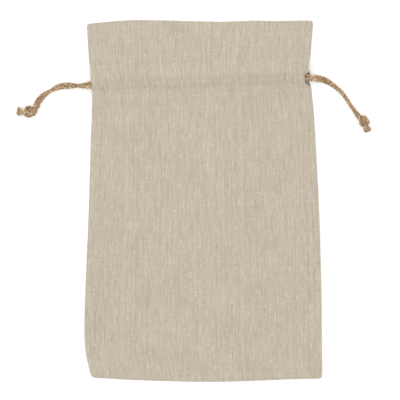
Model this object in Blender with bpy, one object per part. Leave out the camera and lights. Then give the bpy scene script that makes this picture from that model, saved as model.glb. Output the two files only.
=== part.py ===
"""Linen drawstring bread bag, lying flat on its back with its drawcords pulled out to both sides.

Units are metres. +X is to the right across the bag, +Y runs from the foot to the mouth, +Z is up.
The origin is on the surface, under the middle of the cloth.

Each panel is one cut of linen whose top is turned inside as a facing. Two rows of stitching
through panel and facing make the channel, and the facing ends just below the lower row. Two
cords run through both panels' channels: each starts and ends at its own side of the bag and
turns back at the other side, so four strands lie in the channel and two come out at each mouth.
"""
import math

import bmesh
import bpy
from mathutils import Vector

# ---------------------------------------------------------------- driving dimensions
CLOTH = 0.0010                 # thickness of one layer of cloth
GAP = 0.0004                   # air between two layers that lie on each other
PITCH = CLOTH + GAP            # from the middle of one layer to the middle of the next
CORD = 0.0036                  # diameter of one strand of jute cord
CLEAR = 0.0003                 # least air between two pieces
CORD_PITCH = CORD + CLEAR      # from strand to strand where two lie side by side
PAIR_PITCH = CORD + 0.0008     # and where two are twisted about each other
SLACK = 0.0005                 # air between a strand and the cloth about it

FACING_BELOW_CHANNEL = 0.0130  # the turned-in facing ends this far below the channel's line
CORNER_RADIUS = 0.0040         # roundness of the bag's four corners
EDGE_EASE = 0.0070             # run over which the cloth comes down beside a strand
SLOPE_HEAD = -0.0140           # from the channel's line to where the front layer comes down
SLOPE_FOOT = -0.0280           # off the facing, and to where it reaches the back panel

# At the channel's two mouths the edges are set back: how far, and to what distance up and down.
MOUTH_DEPTH = 0.0220           # both facings, which stop well inside the side edges
LEFT_NOTCH = 0.0008            # the front layer on the left
RIGHT_NOTCH = 0.0060           # the front layer on the right
NOTCH_REACH = 0.0075
NOTCH_EASE = 0.0040            # run over which a set-back edge comes out again

# The channel's line is straight and climbs a little to the right.
CHANNEL_HEIGHT = 0.1488        # where it crosses the middle of the bag
CHANNEL_CLIMB = 0.0352         # rise for each metre to the right

# Where the four held strands lie, measured up from the channel's line.
FRONT_LOW = -0.0010
FRONT_HIGH = FRONT_LOW + CORD_PITCH
BACK_LOW = 0.0102
BACK_HIGH = BACK_LOW + CORD_PITCH
UPPER_STITCH = BACK_HIGH + EDGE_EASE
LOWER_STITCH = FRONT_LOW - EDGE_EASE
MOUTH_REACH = UPPER_STITCH + NOTCH_EASE
OVER_CHANNEL = UPPER_STITCH + 0.0010                 # the last row shaped by the channel
HEADING_START = UPPER_STITCH + 0.0060                # the first row of the flat heading

# Heights of the middle of each layer above the surface, where the cloth lies flat.
BACK_OUTER = CLOTH / 2
BACK_FACING = BACK_OUTER + PITCH
FRONT_FACING = BACK_FACING + PITCH
FRONT_OUTER = FRONT_FACING + PITCH
FRONT_ALONE = BACK_OUTER + PITCH                     # the front layer where no facing lies under it
# Heights of the middles of the strands, and of the layers that pass over them.
BACK_STRAND = CLOTH + SLACK + CORD / 2
FRONT_STRAND = FRONT_FACING + CLOTH / 2 + SLACK + CORD / 2
FACING_OVER_STRAND = BACK_STRAND + CORD / 2 + SLACK + CLOTH / 2
CREST = FRONT_STRAND + CORD / 2 + SLACK + CLOTH / 2
TURN_STRAND = CLOTH + CLEAR + CORD / 2               # the right-hand turn, low under the other cord
CROSSING = BACK_STRAND + CORD_PITCH                  # a strand that passes over that turn

# Outline of the bag as it lies. Side edges: height up the bag, left edge, right edge.
SIDES = (
    (-0.2258, -0.1382, 0.1483),
    (-0.2060, -0.1431, 0.1483),
    (-0.1900, -0.1466, 0.1481),
    (-0.1660, -0.1483, 0.1480),
    (-0.1060, -0.1469, 0.1473),
    (-0.0160, -0.1430, 0.1446),
    (0.0740, -0.1404, 0.1402),
    (0.1160, -0.1387, 0.1373),
    (0.1360, -0.1387, 0.1351),
    (0.1600, -0.1410, 0.1320),
    (0.1900, -0.1434, 0.1343),
    (0.2258, -0.1455, 0.1372),
)
# Foot: place across the bag, height of the edge.
FOOT = (
    (-0.1400, -0.2204),
    (-0.0790, -0.2238),
    (0.0150, -0.2258),
    (0.1080, -0.2227),
    (0.1480, -0.2217),
)
# Top fold: place across the bag, height of the edge.
TOP = (
    (-0.1455, 0.2210),
    (-0.1040, 0.2249),
    (-0.0750, 0.2258),
    (0.0210, 0.2238),
    (0.0650, 0.2251),
    (0.0900, 0.2246),
    (0.1270, 0.2251),
    (0.1380, 0.2247),
)

# Soft folds in the front layer: start, end, height of the ridge, half its width.
FOLDS = (
    ((0.1010, 0.1330), (0.1190, 0.0780), 0.0009, 0.0075),
    ((0.1285, 0.1240), (0.1340, 0.0150), 0.0007, 0.0070),
    ((-0.1220, 0.0830), (-0.1290, 0.0020), 0.0007, 0.0080),
    ((-0.1330, 0.0300), (-0.1360, -0.2080), 0.0003, 0.0070),
    ((0.1380, -0.0300), (0.1400, -0.2080), 0.0004, 0.0070),
    ((-0.0200, 0.1080), (-0.0350, 0.0500), 0.0005, 0.0140),
    ((0.0350, 0.0200), (0.0150, -0.1400), 0.0005, 0.0260),
    ((-0.0800, -0.0300), (-0.0950, -0.1700), 0.0004, 0.0240),
)

# Columns of the cloth grids, as fractions of the width, closer together near the side edges.
COLUMNS = (0.0, 0.02, 0.05, 0.09, 0.14, 0.20, 0.27, 0.34, 0.41, 0.48, 0.55, 0.62, 0.69, 0.76, 0.82,
           0.87, 0.91, 0.95, 0.98, 1.0)
FOLD_TURNS = (36, 72, 108, 144)    # degrees round the top fold

# Middle line of each free pair of strands, from the mouth to the knot.
LEFT_ROUTE = (
    (-0.1440, 0.1444),
    (-0.1540, 0.1436),
    (-0.1700, 0.1440),
    (-0.1800, 0.1425),
    (-0.1884, 0.1386),
    (-0.1979, 0.1330),
    (-0.2051, 0.1257),
    (-0.2102, 0.1175),
)
RIGHT_ROUTE = (
    (0.1355, 0.1529),
    (0.1422, 0.1527),
    (0.1497, 0.1515),
    (0.1570, 0.1479),
    (0.1644, 0.1427),
    (0.1720, 0.1362),
    (0.1779, 0.1286),
    (0.1830, 0.1210),
    (0.1880, 0.1134),
    (0.1943, 0.1056),
)
# How each pair has turned about its middle line: distance from the mouth, turn in degrees.
LEFT_TWIST = ((0.0, 0.0), (0.0126, 90.0), (0.0288, 180.0), (0.0486, 270.0), (0.0660, 360.0),
              (0.0800, 400.0))
RIGHT_TWIST = ((0.0, 0.0), (0.0120, 6.0), (0.0200, 40.0), (0.0300, 66.0), (0.0400, 84.0),
               (0.0580, 93.0), (0.0680, 106.0), (0.0800, 114.0))
# How far each pair's lower strand is off the surface: distance from the mouth, height. It comes
# down from the mouth, and rises into the knot.
LEFT_DROP = ((0.0, 0.0013), (0.0080, 0.0), (0.0660, 0.0), (0.0790, 0.0030))
RIGHT_DROP = ((0.0, 0.0050), (0.0060, 0.0030), (0.0150, 0.0), (0.0680, 0.0), (0.0830, 0.0030))
ROUTE_STEP = 0.0080            # spacing of the points along a pair
STRAND_STEP = 0.0050           # spacing of a finished strand's points

LINEN = (0.57, 0.50, 0.40, 1.0)
JUTE = (0.40, 0.28, 0.17, 1.0)


# ---------------------------------------------------------------- helpers
def clear_scene():
    for old in list(bpy.data.objects):
        bpy.data.objects.remove(old, do_unlink=True)


def material(name, colour, roughness):
    made = bpy.data.materials.new(name)
    made.use_nodes = True
    shader = made.node_tree.nodes["Principled BSDF"]
    shader.inputs["Base Color"].default_value = colour
    shader.inputs["Roughness"].default_value = roughness
    shader.inputs["Metallic"].default_value = 0.0
    return made


def place_mesh(name, shape, finish):
    """An object made from a finished bmesh, which it frees."""
    mesh = bpy.data.meshes.new(name)
    shape.to_mesh(mesh)
    shape.free()
    mesh.shade_smooth()
    mesh.set_sharp_from_angle(angle=math.radians(50))
    mesh.materials.append(finish)
    made = bpy.data.objects.new(name, mesh)
    bpy.context.collection.objects.link(made)
    return made


def between(table, place, column=1):
    """Value of a table at a place: a smooth curve through its rows, held at both ends."""
    if place <= table[0][0]:
        return table[0][column]
    if place >= table[-1][0]:
        return table[-1][column]
    last = len(table) - 1
    row = max(i for i in range(last) if table[i][0] <= place)
    run = table[row + 1][0] - table[row][0]

    def slope(i):
        low, high = table[max(i - 1, 0)], table[min(i + 1, last)]
        return (high[column] - low[column]) / (high[0] - low[0])

    f = (place - table[row][0]) / run
    return ((2 * f**3 - 3 * f**2 + 1) * table[row][column] + (f**3 - 2 * f**2 + f) * run * slope(row)
            + (3 * f**2 - 2 * f**3) * table[row + 1][column] + (f**3 - f**2) * run * slope(row + 1))


def eased(value):
    """0 to 1 with flat ends, as half a cosine wave."""
    return (1 - math.cos(math.pi * min(max(value, 0.0), 1.0))) / 2


def channel(x):
    """Height of the channel's line up the bag."""
    return CHANNEL_HEIGHT + CHANNEL_CLIMB * x


# ---------------------------------------------------------------- heights of the layers
def back_facing_height(up):
    """The back facing rises over its two strands and lies flat elsewhere."""
    beside = max(up - BACK_HIGH, BACK_LOW - up) / EDGE_EASE
    return FACING_OVER_STRAND - (FACING_OVER_STRAND - BACK_FACING) * eased(beside)


def laid_on(profile, up):
    """The middle of a layer that lies on another, whose middle follows a profile."""
    probe = 0.0002
    slope = (profile(up + probe) - profile(up - probe)) / (2 * probe)
    return profile(up) + PITCH * math.hypot(1.0, slope)


def front_facing_height(up):
    return laid_on(back_facing_height, up)


def front_outer_height(up):
    """The front layer: on the facings, over the strands, and down to the back panel below them."""
    if up > BACK_LOW:
        return laid_on(front_facing_height, up)
    if up > LOWER_STITCH:
        return CREST - (CREST - FRONT_OUTER) * eased((FRONT_LOW - up) / EDGE_EASE)
    down = (SLOPE_HEAD - up) / (SLOPE_HEAD - SLOPE_FOOT)
    return FRONT_OUTER - (FRONT_OUTER - FRONT_ALONE) * eased(down)


def fold_height(x, y):
    """What the soft folds add to the front layer: each is a ridge that fades at both ends."""
    point = Vector((x, y))
    total = 0.0
    for start, end, height, half_width in FOLDS:
        along = Vector(end) - Vector(start)
        f = min(max((point - Vector(start)).dot(along) / along.length_squared, 0.0), 1.0)
        away = (point - Vector(start) - along * f).length
        total += height * math.exp(-(away / half_width) ** 2) * (0.3 + 0.7 * math.sin(math.pi * f))
    return total


# ---------------------------------------------------------------- cloth panels
def side_inset(x, y, reach, depth):
    """How far a side edge is drawn in: at the rounded corners, and at the channel's mouth."""
    inset = depth * (1 - eased((abs(y - channel(x)) - reach) / NOTCH_EASE + 1.0))
    for distance in (y - between(FOOT, x), between(TOP, x) - y):
        rest = CORNER_RADIUS - min(max(distance, 0.0), CORNER_RADIUS)
        inset += CORNER_RADIUS - math.sqrt(CORNER_RADIUS**2 - rest**2)
    return inset


def cloth_row(height_at, reach, left_depth, right_depth):
    """Places across the cloth on one row; height_at gives a row's y from its x."""
    row = []
    for fraction in COLUMNS:
        x = SIDES[0][1] + (SIDES[0][2] - SIDES[0][1]) * fraction
        for _ in range(3):
            y = height_at(x)
            left = between(SIDES, y, 1) + side_inset(x, y, reach, left_depth)
            right = between(SIDES, y, 2) - side_inset(x, y, reach, right_depth)
            x = left + (right - left) * fraction
        row.append((x, height_at(x)))
    return row


def body_rows(count):
    """Rows from the foot to just short of the slope, with close ones for the rounded corners."""
    close = [0.0, 0.004, 0.012]
    shares = close + [close[-1] + (1 - close[-1]) * i / count for i in range(1, count)]
    return [lambda x, f=f: between(FOOT, x) * (1 - f) + (channel(x) + SLOPE_FOOT) * f
            for f in shares]


def channel_rows(*stretches):
    """Rows at set distances from the channel's line, as (start, end, count) that join up."""
    ups = [stretches[0][0]]
    for start, end, count in stretches:
        ups += [start + (end - start) * (i + 1) / count for i in range(count)]
    return [lambda x, up=up: channel(x) + up for up in ups]


def heading_rows(count):
    """Rows from above the channel to just under the top fold, with close ones at the corners."""
    fold = CLOTH / 2 + PITCH / 2
    shares = [i / count for i in range(count)] + [0.985, 1.0]
    return [lambda x, f=f: (channel(x) + HEADING_START) * (1 - f) + (between(TOP, x) - fold) * f
            for f in shares]


def fold_over(row, height_below):
    """Rows round the top fold, from the outer layer's last row to the facing's first."""
    rows = []
    for turn in FOLD_TURNS:
        angle = math.radians(turn)
        turned = []
        for point in row:
            half = (point.z - height_below(point.y - channel(point.x))) / 2
            turned.append(point + Vector((0.0, PITCH / 2 * math.sin(angle),
                                          half * (math.cos(angle) - 1))))
        rows.append(turned)
    return rows


def thickened(name, rows, finish):
    """A closed sheet of cloth about a grid of middle points."""
    last_row, last_column = len(rows) - 1, len(rows[0]) - 1
    shape = bmesh.new()
    skin = {}
    for i, row in enumerate(rows):
        for j, point in enumerate(row):
            up_the_cloth = rows[min(i + 1, last_row)][j] - rows[max(i - 1, 0)][j]
            across = row[min(j + 1, last_column)] - row[max(j - 1, 0)]
            normal = across.cross(up_the_cloth).normalized()
            for side in (1, -1):
                skin[side, i, j] = shape.verts.new(point + normal * (side * CLOTH / 2))
    for i in range(last_row):
        for j in range(last_column):
            for side in (1, -1):
                corners = [skin[side, i, j], skin[side, i, j + 1],
                           skin[side, i + 1, j + 1], skin[side, i + 1, j]]
                shape.faces.new(corners[::side])
    rim = [(0, j) for j in range(last_column)]
    rim += [(i, last_column) for i in range(last_row)]
    rim += [(last_row, j) for j in range(last_column, 0, -1)]
    rim += [(i, 0) for i in range(last_row, 0, -1)]
    for here, there in zip(rim, rim[1:] + rim[:1]):
        shape.faces.new([skin[1, *here], skin[-1, *here], skin[-1, *there], skin[1, *there]])
    bmesh.ops.recalc_face_normals(shape, faces=shape.faces)
    return place_mesh(name, shape, finish)


def make_panel(name, outer_rows, outer_height, facing_height, left_notch, right_notch, finish):
    """One panel: up its outer layer, over the top fold and down its facing."""
    rows = []
    for height_at in outer_rows + heading_rows(3):
        row = cloth_row(height_at, NOTCH_REACH, left_notch, right_notch)
        rows.append([Vector((x, y, outer_height(x, y))) for x, y in row])
    rows += fold_over(rows[-1], facing_height)
    facing_rows = heading_rows(3)[::-1] + channel_rows(
        (OVER_CHANNEL, BACK_HIGH, 6), (BACK_HIGH, BACK_LOW, 1),
        (BACK_LOW, BACK_LOW - EDGE_EASE, 5), (BACK_LOW - EDGE_EASE, -FACING_BELOW_CHANNEL, 3))
    for height_at in facing_rows:
        row = cloth_row(height_at, MOUTH_REACH, MOUTH_DEPTH, MOUTH_DEPTH)
        rows.append([Vector((x, y, facing_height(y - channel(x)))) for x, y in row])
    return thickened(name, rows, finish)


def make_panels(finish):
    shaped_rows = channel_rows(
        (SLOPE_FOOT, SLOPE_HEAD, 4), (SLOPE_HEAD, LOWER_STITCH, 2), (LOWER_STITCH, FRONT_LOW, 6),
        (FRONT_LOW, BACK_HIGH, 4), (BACK_HIGH, OVER_CHANNEL, 6))
    make_panel("front_panel", body_rows(14) + shaped_rows,
               lambda x, y: front_outer_height(y - channel(x)) + fold_height(x, y),
               front_facing_height, LEFT_NOTCH, RIGHT_NOTCH, finish)
    make_panel("back_panel", body_rows(8) + channel_rows((SLOPE_FOOT, 0.0, 1)),
               lambda x, y: BACK_OUTER, back_facing_height, 0.0, 0.0, finish)


# ---------------------------------------------------------------- cords
def smooth_route(points, step):
    """Points a step apart on a smooth curve through the route's own points."""
    fine = []
    ends = [points[0] * 2 - points[1], *points, points[-1] * 2 - points[-2]]
    for a, b, c, d in zip(ends, ends[1:], ends[2:], ends[3:]):
        for i in range(16):
            f = i / 16
            fine.append(0.5 * (2 * b + (c - a) * f + (2 * a - 5 * b + 4 * c - d) * f**2
                               + (3 * b - a - 3 * c + d) * f**3))
    fine.append(points[-1])
    lengths = [0.0]
    for a, b in zip(fine, fine[1:]):
        lengths.append(lengths[-1] + (b - a).length)
    count = max(2, round(lengths[-1] / step))
    placed = []
    for i in range(count + 1):
        wanted = lengths[-1] * i / count
        k = min(sum(length <= wanted for length in lengths) - 1, len(fine) - 2)
        share = (wanted - lengths[k]) / (lengths[k + 1] - lengths[k])
        placed.append(fine[k].lerp(fine[k + 1], min(share, 1.0)))
    return placed


def tube(name, points, finish):
    """A strand of cord through its points, never lower than the surface."""
    curve = bpy.data.curves.new(name, "CURVE")
    curve.dimensions = "3D"
    curve.bevel_depth = CORD / 2
    curve.bevel_resolution = 2
    curve.use_fill_caps = True
    spline = curve.splines.new("POLY")
    spline.points.add(len(points) - 1)
    for stop, point in zip(spline.points, points):
        stop.co = (point.x, point.y, max(point.z, CORD / 2), 1.0)
    curve.materials.append(finish)
    made = bpy.data.objects.new(name, curve)
    bpy.context.collection.objects.link(made)
    return made


def at_channel(x, up, z):
    return Vector((x, channel(x) + up, z))


def paired_points(route, twist, drop, side):
    """One strand of a twisted pair that lies on the surface; side is 1 or -1.

    The two strands circle their middle line, and the pair rises as one climbs over the other.
    """
    middle = smooth_route([Vector((x, y, 0.0)) for x, y in route], ROUTE_STEP)
    points = []
    gone = 0.0
    for i, point in enumerate(middle):
        if i:
            gone += (point - middle[i - 1]).length
        ahead = (middle[min(i + 1, len(middle) - 1)] - middle[max(i - 1, 0)]).normalized()
        across = Vector((-ahead.y, ahead.x, 0.0))
        angle = math.radians(between(twist, gone))
        climb = PAIR_PITCH / 2 * (abs(math.sin(angle)) + side * math.sin(angle))
        height = CORD / 2 + between(drop, gone) + climb
        points.append(point + across * (side * PAIR_PITCH / 2 * math.cos(angle))
                      + Vector((0.0, 0.0, height)))
    return points


def make_free_strands(finish):
    """The strands from inside each mouth to the knots. Each starts with its own way out of the
    channel, and then joins its pair."""
    left_front = [at_channel(-0.1205, FRONT_LOW, FRONT_STRAND),
                  at_channel(-0.1240, FRONT_LOW, FRONT_STRAND),
                  at_channel(-0.1320, FRONT_LOW - 0.0005, FRONT_STRAND),
                  at_channel(-0.1385, FRONT_LOW - 0.0012, 0.0052)]
    left_back = [at_channel(-0.1185, BACK_HIGH, BACK_STRAND),
                 at_channel(-0.1220, BACK_HIGH, BACK_STRAND),
                 at_channel(-0.1272, 0.0133, BACK_STRAND),
                 at_channel(-0.1322, 0.0103, BACK_STRAND),
                 at_channel(-0.1364, 0.0064, BACK_STRAND),
                 at_channel(-0.1402, 0.0037, BACK_STRAND)]
    right_front = [at_channel(0.1165, FRONT_HIGH, FRONT_STRAND),
                   at_channel(0.1190, FRONT_HIGH, FRONT_STRAND),
                   at_channel(0.1235, 0.0014, FRONT_STRAND),
                   at_channel(0.1268, -0.0001, FRONT_STRAND),
                   at_channel(0.1297, -0.0012, 0.0073),
                   at_channel(0.1332, -0.0019, CROSSING)]
    right_back = [at_channel(0.1148, BACK_LOW, BACK_STRAND),
                  at_channel(0.1172, BACK_LOW, BACK_STRAND),
                  at_channel(0.1205, 0.0084, 0.0043),
                  at_channel(0.1240, 0.0060, 0.0054),
                  at_channel(0.1270, 0.0041, 0.0061),
                  at_channel(0.1302, 0.0026, 0.0070),
                  at_channel(0.1334, 0.0021, CROSSING)]
    for name, way_out, route, twist, drop, side in (
            ("left_strand_front", left_front, LEFT_ROUTE, LEFT_TWIST, LEFT_DROP, 1),
            ("left_strand_back", left_back, LEFT_ROUTE, LEFT_TWIST, LEFT_DROP, -1),
            ("right_strand_front", right_front, RIGHT_ROUTE, RIGHT_TWIST, RIGHT_DROP, -1),
            ("right_strand_back", right_back, RIGHT_ROUTE, RIGHT_TWIST, RIGHT_DROP, 1)):
        points = way_out + paired_points(route, twist, drop, side)[1:]
        tube(name, smooth_route(points, STRAND_STEP), finish)


def straight(start, end, count):
    return [start.lerp(end, i / count) for i in range(count + 1)]


def turned_back(start, end, bulge):
    """A U-turn from start to end that reaches out sideways by bulge."""
    middle = (start + end) / 2
    outward = Vector((bulge, 0.0, 0.0))
    angles = [math.pi * i / 8 for i in range(9)]
    return [middle + (start - middle) * math.cos(angle) + outward * math.sin(angle)
            for angle in angles]


def make_held_cords(finish):
    """The stretches that the channel holds: out through the front, round, back through the back."""
    runs = 18
    there = straight(at_channel(-0.1200, FRONT_LOW, FRONT_STRAND),
                     at_channel(0.1105, FRONT_LOW, FRONT_STRAND), runs)
    lowered = [at_channel(0.1142, -0.0014, 0.0051), at_channel(0.1178, -0.0022, 0.0036)]
    turn = turned_back(at_channel(0.1238, -0.0032, TURN_STRAND),
                       at_channel(0.1238, BACK_HIGH, TURN_STRAND), 0.0080)
    back = straight(at_channel(0.1180, BACK_HIGH, BACK_STRAND),
                    at_channel(-0.1180, BACK_HIGH, BACK_STRAND), runs)
    tube("left_cord_in_channel", there + lowered + turn + back, finish)

    there = straight(at_channel(0.1160, FRONT_HIGH, FRONT_STRAND),
                     at_channel(-0.1185, FRONT_HIGH, FRONT_STRAND), runs)
    turn = turned_back(at_channel(-0.1225, FRONT_HIGH, FRONT_STRAND),
                       at_channel(-0.1225, BACK_LOW, BACK_STRAND), -0.0040)
    back = straight(at_channel(-0.1185, BACK_LOW, BACK_STRAND),
                    at_channel(0.1140, BACK_LOW, BACK_STRAND), runs)
    tube("right_cord_in_channel", there + turn + back, finish)


# ---------------------------------------------------------------- knots
KNOT_RIDGE = 0.06              # height of a wrap's ridge, as a share of the knot's size
FRAYED = 1.24                  # how much wider a strand's frayed end is


def tail(name, start, end, finish):
    """A strand's cut end, a little wider where it frays."""
    run = end - start
    shape = bmesh.new()
    bmesh.ops.create_cone(shape, cap_ends=True, segments=8, radius1=CORD / 2,
                          radius2=CORD / 2 * FRAYED, depth=run.length)
    stub = place_mesh(name, shape, finish)
    stub.location = (start + end) / 2
    stub.rotation_euler = run.to_track_quat("Z", "Y").to_euler()
    stub.hide_render = True
    stub.display_type = "WIRE"
    return stub


def make_knot(name, centre, half_sizes, heading, tails, finish):
    """A tight overhand knot on the surface: an egg with the ridges of its three wraps, and two
    tails. heading is the way in which its strands run through it."""
    shape = bmesh.new()
    bmesh.ops.create_uvsphere(shape, u_segments=20, v_segments=12, radius=1.0)
    for vert in shape.verts:
        around = math.atan2(vert.co.z, vert.co.y)
        ridge = 1.0 + KNOT_RIDGE * math.cos(3 * around + 2.4 * vert.co.x) * (1 - vert.co.z**2)
        vert.co = Vector([size * place for size, place in zip(half_sizes, vert.co)]) * ridge
    body = place_mesh(name, shape, finish)
    lowest = min(vert.co.z for vert in body.data.vertices)
    body.location = (centre[0], centre[1], -lowest)
    body.rotation_euler.z = heading
    for i, (start, end) in enumerate(tails):
        join = body.modifiers.new("tail", "BOOLEAN")
        join.operation = "UNION"
        join.object = tail(f"{name}_tail_{i}", Vector(start), Vector(end), finish)


def make_knots(finish):
    resting = CORD / 2 * FRAYED * 1.06       # height of a tail's end that lies on the surface
    raised = CORD * 0.95                     # and of its start inside the knot
    make_knot("left_knot", (-0.2160, 0.1113), (0.0085, 0.0069, 0.0056), math.radians(8),
              (((-0.2200, 0.1124, raised), (-0.2323, 0.1147, resting)),
               ((-0.2200, 0.1097, raised), (-0.2326, 0.1090, resting))), finish)
    make_knot("right_knot", (0.2005, 0.0996), (0.0080, 0.0069, 0.0056), math.radians(-60),
              (((0.2020, 0.0960, raised), (0.2036, 0.0868, resting)),
               ((0.2035, 0.0970, raised), (0.2076, 0.0888, resting))), finish)


def main():
    clear_scene()
    linen = material("linen", LINEN, 0.9)
    jute = material("jute", JUTE, 0.9)
    make_panels(linen)
    make_free_strands(jute)
    make_held_cords(jute)
    make_knots(jute)


main()
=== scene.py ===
# %% [markdown]
# # A linen bread bag with jute drawcords
#
# The bag lies empty on its back with its drawcords pulled out to both sides. It is two cuts of
# linen sewn together at the sides and the foot. Each cut's top is turned inside as a facing, two
# rows of stitching make a channel through both, and two jute cords run in that channel. Each cord
# comes out of its own side of the bag twice, so there are two free strands at each side, twisted
# about each other and tied in one overhand knot.
#
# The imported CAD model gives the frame: its plain sheets, tubes and knots say where everything is
# and what it replaces. This script makes what is seen, piece by piece, in the same metres.

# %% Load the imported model
import math

import bpy
import numpy as np
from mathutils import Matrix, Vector


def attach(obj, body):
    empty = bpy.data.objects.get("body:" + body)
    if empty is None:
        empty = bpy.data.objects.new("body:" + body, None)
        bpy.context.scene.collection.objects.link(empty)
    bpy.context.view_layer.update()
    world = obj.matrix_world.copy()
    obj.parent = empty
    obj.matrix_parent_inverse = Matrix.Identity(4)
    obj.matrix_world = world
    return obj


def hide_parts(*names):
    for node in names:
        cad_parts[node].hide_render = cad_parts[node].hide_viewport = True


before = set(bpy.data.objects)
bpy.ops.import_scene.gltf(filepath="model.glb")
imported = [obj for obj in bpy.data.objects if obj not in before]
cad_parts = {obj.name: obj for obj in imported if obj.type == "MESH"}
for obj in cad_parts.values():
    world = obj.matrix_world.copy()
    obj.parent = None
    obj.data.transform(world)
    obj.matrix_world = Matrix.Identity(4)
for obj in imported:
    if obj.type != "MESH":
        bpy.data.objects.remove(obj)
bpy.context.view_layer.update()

# %% [markdown]
# ## The camera
#
# A flat thing is seen best from straight above, from so far away that it has no perspective.
# An orthographic camera would do that too, but a long lens keeps the perspective that side views
# need, so the camera is a perspective one, 3 m up. Its lens follows from the width that it sees.

# %% Camera
CAMERA_HEIGHT = 3.0
SEEN_WIDTH = 0.500             # of the surface, across the whole picture
SENSOR_WIDTH = 36.0            # millimetres, as is the lens
PICTURE_CENTRE = (-0.0041, 0.0011)

bpy.ops.object.camera_add(location=(*PICTURE_CENTRE, CAMERA_HEIGHT), rotation=(0.0, 0.0, 0.0))
camera = bpy.context.object
camera.name = "overhead_camera"
camera.data.sensor_width = SENSOR_WIDTH
camera.data.lens = SENSOR_WIDTH * CAMERA_HEIGHT / SEEN_WIDTH
camera.data.clip_end = 100.0
bpy.context.scene.camera = camera
print("lens", camera.data.lens, "mm")

# %% [markdown]
# ## The routes of the cords
#
# A cord is drawn from its middle line. The strands' middle lines take the CAD's way: a short way
# out of the channel, and then two strands that circle the middle line of their pair. They lie a
# little closer to each other and to the cloth than the CAD's solids may. The points of the pairs
# are listed, and a smooth curve runs through them, because limp cord has no corners.

# %% Sizes of the cords and the channel
CORD = 0.0036                  # diameter of a strand
CLEAR = 0.0003                 # air between two strands
CORD_PITCH = CORD + CLEAR      # from strand to strand, side by side or twisted about each other
CLOTH = 0.0010                 # one layer of cloth, as the CAD has it
PITCH = CLOTH + 0.0004         # from layer to layer, with the air between them
SLACK = 0.0005                 # air between a strand and the cloth about it
CHANNEL_HEIGHT = 0.1488        # of the channel's line, where it crosses the middle of the bag
CHANNEL_CLIMB = 0.0352         # rise for each metre to the right
EDGES = (-0.14, 0.14)          # of the bag at the channel, about

FRONT_LOW = -0.0010            # the four strands in the channel, above its line
FRONT_HIGH = FRONT_LOW + CORD_PITCH
BACK_LOW = 0.0102
BACK_HIGH = BACK_LOW + CORD_PITCH

BACK_OUTER = CLOTH / 2         # the layers' middles above the surface
BACK_FACING = BACK_OUTER + PITCH
FRONT_FACING = BACK_FACING + PITCH
FRONT_OUTER = FRONT_FACING + PITCH
BACK_STRAND = CLOTH + SLACK + CORD / 2                # and the middles of the strands
FRONT_STRAND = FRONT_FACING + CLOTH / 2 + CORD / 2
FACING_OVER_STRAND = BACK_STRAND + CORD / 2 + SLACK + CLOTH / 2
TURN_STRAND = CLOTH + CLEAR + CORD / 2                # the right-hand turn, low under the others
CROSSING = BACK_STRAND + CORD_PITCH                   # a strand that passes over that turn


def channel(x):
    """Height of the channel's line up the bag, at a place across it."""
    return CHANNEL_HEIGHT + CHANNEL_CLIMB * x


def at_channel(x, up, z):
    """A point by its place across the bag, above the channel's line and off the surface."""
    return np.array((x, channel(x) + up, z))


print("the channel's line is", round(channel(EDGES[0]), 4), "m up the bag at the left edge and",
      round(channel(EDGES[1]), 4), "m at the right")

# %% Smooth curves through tables and points
SPAN_POINTS = 16               # worked out from one point of a route to the next


def hermite(f, run, start, start_slope, end, end_slope):
    """A cubic curve over a run that leaves its start and meets its end at the slopes given."""
    return ((2 * f**3 - 3 * f**2 + 1) * start + (f**3 - 2 * f**2 + f) * run * start_slope
            + (3 * f**2 - 2 * f**3) * end + (f**3 - f**2) * run * end_slope)


def between(table, place, column=1):
    """Value of a table at a place: a smooth curve through its rows, held at both ends."""
    rows = np.array([[row[0], row[column]] for row in table])
    place = np.clip(place, rows[0, 0], rows[-1, 0])
    slopes = np.empty(len(rows))
    slopes[1:-1] = (rows[2:, 1] - rows[:-2, 1]) / (rows[2:, 0] - rows[:-2, 0])
    slopes[0] = (rows[1, 1] - rows[0, 1]) / (rows[1, 0] - rows[0, 0])
    slopes[-1] = (rows[-1, 1] - rows[-2, 1]) / (rows[-1, 0] - rows[-2, 0])
    k = np.clip(np.searchsorted(rows[:, 0], place, side="right") - 1, 0, len(rows) - 2)
    run = rows[k + 1, 0] - rows[k, 0]
    f = (place - rows[k, 0]) / run
    return hermite(f, run, rows[k, 1], slopes[k], rows[k + 1, 1], slopes[k + 1])


def length_of(vectors):
    """The length of each vector, as a column."""
    return np.linalg.norm(vectors, axis=-1, keepdims=True)


def unit(vectors):
    """The vectors' directions, each 1 long."""
    return vectors / length_of(vectors)


def distances(points):
    """How far along a line each of its points is."""
    return np.concatenate([[0.0], np.cumsum(length_of(np.diff(points, axis=0))[:, 0])])


def level_aside(points):
    """A level vector square to the way ahead at each point."""
    ahead = np.gradient(points, axis=0)
    return unit(np.stack([-ahead[:, 1], ahead[:, 0], np.zeros(len(points))], axis=1))


def spaced(points, step):
    """Points a step apart along a line of straight runs, both ends kept."""
    gone = distances(points)
    count = max(2, round(gone[-1] / step))
    wanted = np.linspace(0.0, gone[-1], count + 1)
    return np.stack([np.interp(wanted, gone, points[:, axis]) for axis in range(3)], axis=1)


def smooth_route(points, step):
    """Points a step apart on a smooth curve through the route's own points."""
    points = np.asarray(points, dtype=float)
    ends = np.concatenate([[2 * points[0] - points[1]], points, [2 * points[-1] - points[-2]]])
    fine = []
    for a, b, c, d in zip(ends, ends[1:], ends[2:], ends[3:]):
        for f in np.arange(SPAN_POINTS) / SPAN_POINTS:
            fine.append(0.5 * (2 * b + (c - a) * f + (2 * a - 5 * b + 4 * c - d) * f**2
                               + (3 * b - a - 3 * c + d) * f**3))
    return spaced(np.array(fine + [points[-1]]), step)


print("a quarter of the way through a small table:", float(between(((0, 0), (1, 1)), 0.25)))

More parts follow.
